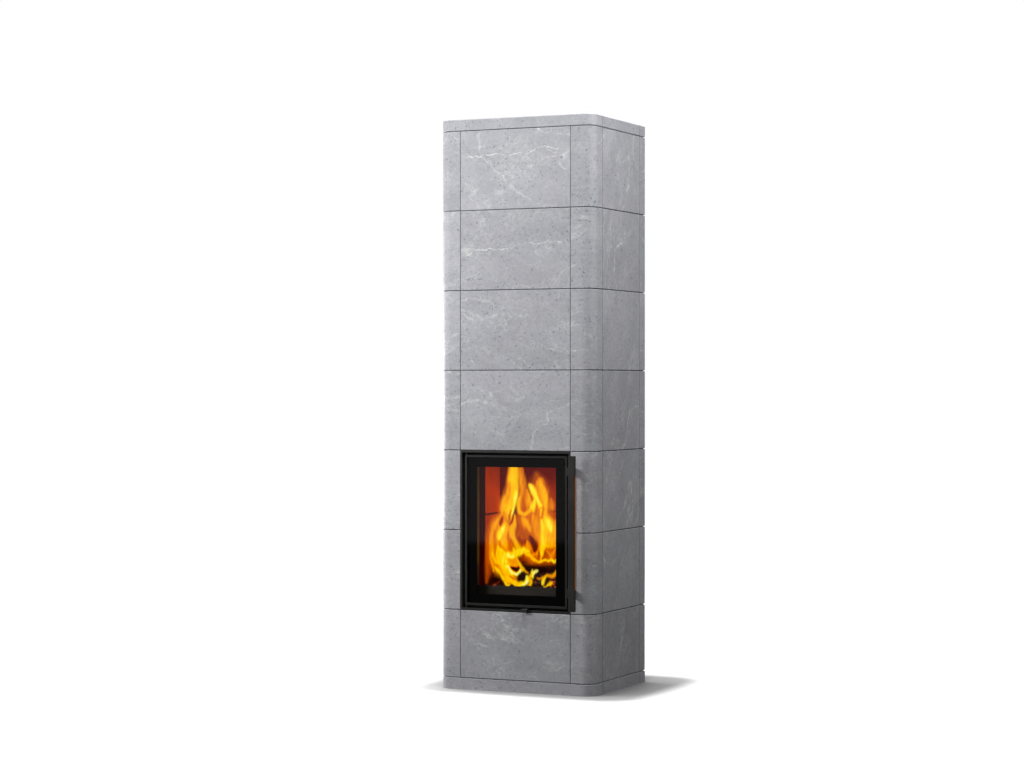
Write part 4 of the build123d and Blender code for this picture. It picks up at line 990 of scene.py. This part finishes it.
FRONT_FLAMES = [
    # left body and its fringe
    (0.34, 0.75, 0.8, [(500, 512, 1), (494, 521, 3.4), (490.4, 532, 4.4), (488.4, 546, 4), (488, 560, 3.6),
        (487.4, 572, 3), (486.6, 582, 1.6)]),
    (0.52, 1.00, 0.45, [(503.6, 514, 2), (501.4, 521, 7), (501, 530, 11), (501.6, 541, 13),
        (502.4, 551, 13.4), (504, 561, 12.6), (506.6, 570, 10), (510, 578, 6.6)]),
    (0.60, 0.85, 0.7, [(512, 516, 1), (511, 524, 3), (510, 531, 4)]),
    (0.68, 0.85, 0.8, [(504.6, 524, 2), (504, 531, 4.4), (503.4, 538, 4.8), (503.4, 545, 4)]),
    (0.60, 0.90, 0.6, [(498.6, 518, 0.8), (495.4, 524, 1.8), (493, 531, 2), (491.8, 540, 1.9),
        (491.4, 549, 1.8), (491.8, 557, 1.7), (492.8, 564, 1.5), (493.8, 571, 1)]),
    (0.44, 0.80, 0.7, [(495.4, 531, 0.8), (494.8, 540, 1.4), (495, 549, 1.5), (496.6, 556, 1.2)]),
    (0.22, 0.90, 0.7, [(502.4, 516.6, 0.8), (501.4, 520.6, 1.9), (500.8, 524, 1.1)]),
    (0.24, 0.90, 0.7, [(515, 512, 0.6), (514.6, 517, 1), (512.4, 521, 1.5), (510, 523.4, 1.2)]),
    (0.66, 0.95, 0.5, [(514.8, 515, 0.6), (515, 520.4, 1.4), (514, 526, 2), (512.6, 531, 2.2),
        (513.2, 537, 2.2), (515.4, 541.6, 2.2), (517.6, 546, 2.3), (520.4, 550, 2.4)]),
    (0.40, 0.95, 0.6, [(508.6, 531.6, 0.8), (509.2, 538, 1.9), (510.6, 544, 2.4), (510.4, 549, 2.4)]),
    (0.46, 0.80, 0.7, [(499, 541, 0.8), (500.6, 546, 1.8), (503.6, 550, 1.6)]),
    (0.91, 0.95, 0.8, [(504, 525, 0.6), (502.6, 529, 2), (500.8, 533, 2.8), (499.8, 536.4, 2.2),
        (499, 539.4, 0.8)]),
    # glow under the crest
    (0.56, 1.00, 0.5, [(511, 557, 3), (513.6, 561, 5), (514.6, 565, 4)]),
    # sweep along the bottom
    (0.72, 1.00, 0.4, [(497.6, 549, 1), (500, 555.6, 3.6), (502.6, 562, 4.8), (504.8, 568, 5),
        (507.2, 573.6, 4.6), (510.4, 578.6, 3.8), (514.4, 582.6, 2.8), (519.4, 584.8, 2.2),
        (524.4, 583.6, 2.3), (527.8, 580, 1.6)]),
    (0.52, 0.80, 0.7, [(494.6, 559, 0.8), (498, 564, 1.4), (501, 569.6, 1.3), (503.6, 574.6, 1)]),
    (0.76, 0.90, 0.6, [(491.4, 552.4, 0.6), (494.4, 557.4, 1), (498, 562.4, 1.2), (502, 565.6, 1.1),
        (505.6, 567, 0.8)]),
    (0.78, 0.90, 0.6, [(495.4, 566.4, 0.8), (498.6, 572, 1.3), (502.4, 578, 1.5), (506.6, 583.4, 1.5),
        (510.4, 586.4, 1.2)]),
    (0.83, 0.95, 0.8, [(502.6, 551, 1.4), (504.6, 557, 3), (506, 563, 3.2), (508, 568, 2.5),
        (510.8, 571.8, 2)]),
    (0.08, 1.00, 0.4, [(509.6, 567.4, 0.8), (513, 568.8, 2.1), (516.6, 568.8, 2.3), (519, 567.8, 1.2)]),
    (0.94, 1.00, 0.5, [(507.6, 566, 1), (510.2, 570.6, 1.6), (513.4, 573.6, 1.8), (516.8, 573.8, 1.6),
        (519.8, 571.8, 1.5), (521.6, 569, 1)]),
    (0.70, 0.95, 0.5, [(517.2, 558.4, 0.8), (519, 562.6, 1.2), (520.8, 566.4, 1.5), (522.4, 569, 1.5)]),
    (0.60, 0.85, 0.6, [(522.4, 568.6, 0.8), (525.4, 571, 0.8), (528.6, 573.4, 0.6)]),
    (0.62, 0.85, 0.7, [(505.6, 563, 0.6), (510, 565.4, 1), (515, 565.4, 1), (519, 562.4, 0.7)]),
    (0.74, 0.70, 0.8, [(509, 574, 1.2), (512.6, 578.4, 1.5), (516.6, 582, 1.4), (521, 583.8, 1.2)]),
    (0.30, 0.85, 0.6, [(509.8, 576, 0.5), (512.6, 578.4, 0.8), (515.4, 580, 0.6)]),
    (0.80, 1.00, 0.5, [(497.8, 546, 0.7), (500.6, 550, 1.4), (504, 553, 2.2), (508.6, 555.4, 2.8),
        (513, 555, 3.4), (517.4, 553, 3.8), (521.4, 550.8, 3), (525, 549.8, 2.2), (528.4, 551.8, 1.2)]),
    (0.78, 0.80, 0.8, [(513, 547.6, 0.8), (514.6, 550.6, 2), (516, 553, 1.6)]),
    (0.97, 0.90, 0.8, [(507.4, 552.8, 1), (508.6, 555.6, 1.9), (511, 557, 1.5), (514, 556.6, 1)]),
    (0.94, 0.95, 0.6, [(520, 585.8, 0.6), (524, 584.8, 1.4), (526.8, 582.2, 1.9), (528.2, 578.8, 1.7),
        (528, 576.4, 0.7)]),
    # licks on the front log
    (0.80, 0.90, 0.6, [(532.4, 568.6, 0.5), (532.2, 572, 1.2), (533, 574.6, 1)]),
    (0.92, 1.00, 0.5, [(538.6, 570.4, 0.5), (536.2, 571.8, 1.4), (533.8, 573.2, 1.8), (532.6, 576, 1.4),
        (533.2, 578.4, 0.6)]),
    (0.70, 0.90, 0.6, [(531.6, 573.6, 0.8), (530.2, 578, 1.2), (530.8, 582, 1.3), (529.8, 585, 1.1),
        (527.6, 587, 0.6)]),
    (0.60, 0.90, 0.6, [(557.4, 569.6, 0.8), (555.4, 573.4, 1.6), (552, 576, 1.8), (548, 576.8, 1.5),
        (544.6, 577.6, 1.2)]),
    (0.82, 0.95, 0.6, [(546.4, 576.6, 0.7), (544, 579.4, 1.5), (542.8, 583, 1.5)]),
    (0.72, 0.95, 0.6, [(541.6, 586.4, 0.8), (545, 587.4, 1.2), (548.8, 585.8, 1.5), (551.6, 582.6, 0.9)]),
    (0.58, 0.85, 0.6, [(538, 578.8, 0.5), (541.6, 577.6, 0.9), (545, 576.4, 0.9)]),
    (0.42, 0.85, 0.6, [(535.6, 583.6, 0.5), (536.6, 586, 1.3), (537.6, 589, 1.6)]),
]

# Places of the picture, in pixels across and down
FLAME_STEP_ACROSS, FLAME_STEP_DOWN = 0.4, 0.45
BACK_WINDOW = (496, 568, 461, 568)
FRONT_WINDOW = (482, 566, 506, 592)
LINING_ACROSS, LINING_REACH = 500, 15
FRONT_LOG_TOP, FRONT_LOG_LOW = 560, 572
RIPPLE_ACROSS, RIPPLE_DOWN = 30, 60
LEFT_LIMIT = -0.153


def back_depth(across, down):
    """Depth of the rear sheet: a wavy curtain over the grate's middle."""
    return -0.042 + 0.010 * waves(np.stack([across / RIPPLE_ACROSS, down / RIPPLE_DOWN], -1), 1.0, 31)


def front_depth(across, down):
    """Depth of the front sheet: it bends forward beside the left lining and low down, round the front log."""
    beside = np.clip((LINING_ACROSS - across) / LINING_REACH, 0, 1)
    return (-0.100 - 0.012 * beside - 0.024 * smooth_step(down, FRONT_LOG_TOP, FRONT_LOG_LOW)
            + 0.004 * waves(np.stack([across / RIPPLE_ACROSS, down / RIPPLE_DOWN], -1), 1.0, 33))


def flame_sheet(name, strokes, depth, left, right, top, bottom):
    """A sheet of flame: picture places, each at its depth on the camera's ray, kept where there is cover."""
    across, down = np.meshgrid(np.arange(left, right, FLAME_STEP_ACROSS),
                               np.arange(top, bottom, FLAME_STEP_DOWN))
    warmth, cover = painted(across, down, strokes)
    rim = np.minimum(np.minimum(across - left, right - across), np.minimum(down - top, bottom - down))
    cover = cover * smooth_step(rim, 0.5, 5.0)
    points = picture_place(across, down, depth(across, down))
    points[..., 0] = np.maximum(points[..., 0], LEFT_LIMIT)
    quads = grid_quads(*across.shape)
    quads = quads[cover.ravel()[quads].max(1) > 0.03]
    used, places = np.unique(quads, return_inverse=True)
    piece = mesh_object(name, points.reshape(-1, 3)[used], places.reshape(-1, 4),
                        attributes={"warmth": warmth.ravel()[used], "cover": cover.ravel()[used]})
    piece.data.materials.append(flame)
    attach(piece, "grate")


flame_sheet("flames_back", BACK_FLAMES, back_depth, *BACK_WINDOW)
flame_sheet("flames_front", FRONT_FLAMES, front_depth, *FRONT_WINDOW)


def split_log(name, start, end, radius, corners, seed, rows=72, around=64, cap=7):
    """A split log between two points, in millimetres, closed by its two end faces.

    Round it the radius is radius * cos(pi/n) / cos(((t + turn) mod (2 pi/n)) - pi/n), a polygon of n corners
    softened towards a circle, with fibres and splits of noise stretched along the log."""
    start, end = np.array(start, float), np.array(end, float)
    axis = (end - start) / np.linalg.norm(end - start)
    side = np.cross(axis, (0, 0, 1.0))
    side /= np.linalg.norm(side)
    up = np.cross(side, axis)
    t = np.linspace(0, 2 * np.pi, around, endpoint=False)
    place = np.linspace(0, 1, rows)
    half = np.pi / corners
    polygon = np.cos(half) / np.cos(((t + seed) % (2 * half)) - half)
    shape = 0.72 * polygon + 0.28 * 0.9
    along = place[:, None] * np.linalg.norm(end - start)
    ring = np.stack(np.broadcast_arrays(along / 9, np.cos(t) * radius, np.sin(t) * radius), -1)
    rough = waves(ring, 7.0, seed) * 1.6 + waves(ring, 17.0, seed + 1) * 2.0
    bend = waves(np.stack([place * 3, place * 0, place * 0], -1), 2.0, seed + 2) * 3
    r = (radius * shape + rough)[..., None]
    skin = (start + axis * along[..., None] + side * np.cos(t)[:, None] * r + up * np.sin(t)[:, None] * r
            + up * bend[:, None, None])
    rings = [skin]
    for face, sign in ((0, -1), (rows - 1, 1)):
        centre = skin[face].mean(0)
        inner = []
        for step in range(1, cap + 1):
            shrink = 1 - step / (cap + 0.35)
            ring_points = centre + (skin[face] - centre) * shrink
            dent = waves(ring_points, 9.0, seed + 5)[:, None] * 1.3 + 1.4 * (1 - shrink)
            inner.append(ring_points - sign * axis * np.abs(dent))
        rings.append(np.array(inner[::-1] if sign < 0 else inner))
    points = np.concatenate([rings[1], rings[0], rings[2]])
    total = len(points)
    quads = grid_quads(total, around, close_columns=True)[:, ::-1]
    flat = np.concatenate([points.reshape(-1, 3), [points[0].mean(0), points[-1].mean(0)]])
    j = np.arange(0, around, 2)
    first, last = len(flat) - 2, len(flat) - 1
    low = np.stack([np.full(len(j), first), j, (j + 1) % around, (j + 2) % around], -1)
    top = (total - 1) * around
    high = np.stack([np.full(len(j), last), top + (j + 2) % around, top + (j + 1) % around, top + j], -1)
    piece = mesh_object(name, flat * MM, np.concatenate([quads, low, high]))
    piece.data.materials.append(charred)
    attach(piece, "grate")


split_log("log_back", (-70, -2, 362), (146, -18, 368), 31, 4, 3)
split_log("log_front", (-46, -96, 346), (128, -52, 342), 22, 4, 11)
split_log("log_right", (22, -110, 322), (148, -76, 326), 22, 5, 17)
split_log("log_left", (-146, -58, 322), (-34, -30, 332), 25, 4, 23)
split_log("log_under", (-10, -66, 322), (110, 6, 326), 24, 5, 29)

BED_HALF_WIDTH = 150
BED_FRONT, BED_BACK = -150, 12
BED_EDGE = 291.5


def ember_bed(name, columns=150, rows=90):
    """The bed of ash and embers: a height field over the grate, closed underneath.

    Its height is a broad heap, lower towards the edges, plus lumps of noise."""
    x = np.linspace(-BED_HALF_WIDTH, BED_HALF_WIDTH, columns)
    y = np.linspace(BED_FRONT, BED_BACK, rows)
    gx, gy = np.meshgrid(x, y)
    inside = np.minimum(BED_HALF_WIDTH - np.abs(gx), np.minimum(gy - BED_FRONT, BED_BACK - gy))
    edge = np.clip(inside / 14, 0, 1)
    place = np.stack([gx, gy, gx * 0], -1)
    lumps = waves(place, 22, 41) * 3 + np.abs(waves(place, 11, 42)) * 4 + waves(place, 5, 43) * 0.8
    height = BED_EDGE + edge * (16 + 5 * waves(place, 120, 44) + lumps)
    top = np.stack([gx, gy, np.maximum(height, BED_EDGE - 0.3)], -1).reshape(-1, 3)
    under = np.stack([gx, gy, np.full_like(gx, BED_EDGE - 1.1)], -1).reshape(-1, 3)
    n = rows * columns
    quads = grid_quads(rows, columns)
    rim = np.concatenate([np.arange(columns), np.arange(1, rows) * columns + columns - 1,
                          (rows - 1) * columns + np.arange(columns - 2, -1, -1),
                          np.arange(rows - 2, 0, -1) * columns])
    after = np.roll(rim, -1)
    wall = np.stack([rim + n, after + n, after, rim], -1)
    piece = mesh_object(name, np.concatenate([top, under]) * MM,
                        np.concatenate([quads, quads[:, ::-1] + n, wall]))
    piece.data.materials.append(ash)
    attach(piece, "grate")


def charcoal_lumps(name, count, seed, rows=7, around=10):
    """Lumps of charcoal heaped on the bed: each a ball pressed into a few flat faces and turned at random."""
    rng = np.random.default_rng(seed)
    points, quads = [], []
    lat = np.linspace(0, np.pi, rows)
    lon = np.linspace(0, 2 * np.pi, around, endpoint=False)
    ball = np.stack([np.sin(lat)[:, None] * np.cos(lon), np.sin(lat)[:, None] * np.sin(lon),
                     np.cos(lat)[:, None] * np.ones(around)], -1).reshape(-1, 3)
    for number in range(count):
        size = rng.uniform(5, 13)
        facets = rng.normal(size=(9, 3))
        facets /= np.linalg.norm(facets, axis=1)[:, None]
        reach = np.clip((ball @ facets.T), 1e-3, None)
        r = np.min(rng.uniform(0.62, 0.95, 9) / reach, axis=1).clip(0, 1.05)
        turn, _ = np.linalg.qr(rng.normal(size=(3, 3)))
        lump = (ball * r[:, None] * size * np.array([1.5, 1.0, 0.9])) @ turn
        x, y = rng.uniform(-136, 136), rng.uniform(-136, -6)
        points.append(lump + np.array([x, y, 305 + rng.uniform(0, 8) + size * 0.4]))
        quads.append(grid_quads(rows, around, close_columns=True)[:, ::-1] + number * rows * around)
    piece = mesh_object(name, np.concatenate(points) * MM, np.concatenate(quads), smooth=False)
    piece.data.materials.append(charcoal)
    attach(piece, "grate")


ember_bed("ember_bed")
charcoal_lumps("charcoal", 260, 5)

# Light and floor
LIGHT_AIM = (0.0, 0.0, 1.1)


def area_light(name, azimuth, radius, height, size, power):
    """A square soft light that looks at LIGHT_AIM.

    Its azimuth is in degrees round the heater from its front, growing towards its right."""
    data = bpy.data.lights.new(name, "AREA")
    data.shape = "RECTANGLE"
    data.size = data.size_y = size
    data.energy = power
    light = bpy.data.objects.new(name, data)
    turn = math.radians(azimuth)
    place = (radius * math.sin(turn), -radius * math.cos(turn), height)
    light.location = place
    direction = np.array(LIGHT_AIM) - place
    light.rotation_euler = (math.acos(-direction[2] / np.linalg.norm(direction)), 0.0,
                            math.atan2(direction[1], direction[0]) - math.pi / 2)
    bpy.context.scene.collection.objects.link(light)


area_light("key", -48, 2.4, 1.5, 0.7, 50.0)
area_light("high fill", 30, 1.0, 3.8, 1.0, 79.0)
area_light("right fill", 75, 1.4, 2.0, 1.0, 14.9)
area_light("left rim", -106, 2.4, 0.8, 1.0, 56.0)
area_light("back fill", -168, 3.4, 2.6, 1.6, 95.0)


def seen_directly(path):
    """1 for what the camera sees, also through glass, and 0 for light that has met a surface before."""
    clear = path["Is Transmission Ray"] * (path["Diffuse Depth"] + path["Glossy Depth"] < 0.5)
    return calc("MAXIMUM", path["Is Camera Ray"], clear)


ROOM_LIGHT = 0.16
ROOM_GLOSS = 0.20
world = bpy.data.worlds.new("studio")
bpy.context.scene.world = world
world.use_nodes = True
sky = world.node_tree
path = node_values(sky, "LightPath")
background = sky.nodes["Background"]
feed(background, Color=WHITE, Strength=ROOM_LIGHT)
dim = add_node(sky, "Background", {"Color": WHITE, "Strength": ROOM_GLOSS})
white = add_node(sky, "Background", {"Color": WHITE, "Strength": 1.0})
room = mix_shaders(path["Is Glossy Ray"], background.outputs[0], dim.outputs[0])
feed(sky.nodes["World Output"], Surface=mix_shaders(seen_directly(path), room, white.outputs[0]))

FLOOR_REACH = 14.0
floor = mesh_object("floor", np.array([[-1, -1, 0], [1, -1, 0], [1, 1, 0], [-1, 1, 0]]) * FLOOR_REACH,
                    [[0, 1, 2, 3]], smooth=False)

FOOT = (0.264, 0.2125, 0.0)
SHADOW_SHIFT = (0.03, 0.04, 0.0)
SHELTER_LEAN = (-0.75, -0.35, 0.0)
SHELTER_REACH = 0.32
FLOOR_GREY = (0.50, 0.50, 0.50)
FLOOR_BOUNCE = (0.08, 0.08, 0.08)


def floor_material():
    """Pale floor that is white wherever the camera sees it outside the heater's shadow.

    The lift that makes it white starts a little outside the base slab, so the shadow shows beside it, more so
    to the right and behind, where the shelter leans too. The light that it sends back to the stone is weak,
    and gloss sees it dark near the heater and pale far away."""
    made, shader, place = material("studio floor")
    tree = place.tree
    past = calc("MAXIMUM", abs(place - SHADOW_SHIFT) - FOOT, ORIGIN)
    path = node_values(tree, "LightPath")
    tilted = calc("NORMALIZE", node_values(tree, "NewGeometry")["Normal"] + SHELTER_LEAN)
    shelter = node_values(tree, "AmbientOcclusion",
                          {"Color": FLOOR_GREY, "Distance": SHELTER_REACH, "Normal": tilted}, samples=8)
    feed(shader, Base_Color=shelter["Color"], Roughness=0.9, Specular_IOR_Level=0.0)
    lift = seen_directly(path) * remap(length(past), 0.07, 0.20)
    far = path["Is Glossy Ray"] * remap(length(place), 6.8, 7.8, 0.0, ROOM_GLOSS)
    glow = add_node(tree, "Emission", {"Color": WHITE, "Strength": lift + far}).outputs[0]
    both = add_node(tree, "AddShader", {0: shader.outputs[0], 1: glow}).outputs[0]
    dim = add_node(tree, "BsdfDiffuse", {"Color": FLOOR_BOUNCE}).outputs[0]
    matt = mix_shaders(path["Is Diffuse Ray"], both, dim)
    feed(tree.nodes["Material Output"], Surface=mix_shaders(path["Is Glossy Ray"], matt, glow))
    return made


floor.data.materials.append(floor_material())

bpy.context.scene.view_settings.view_transform = "Standard"
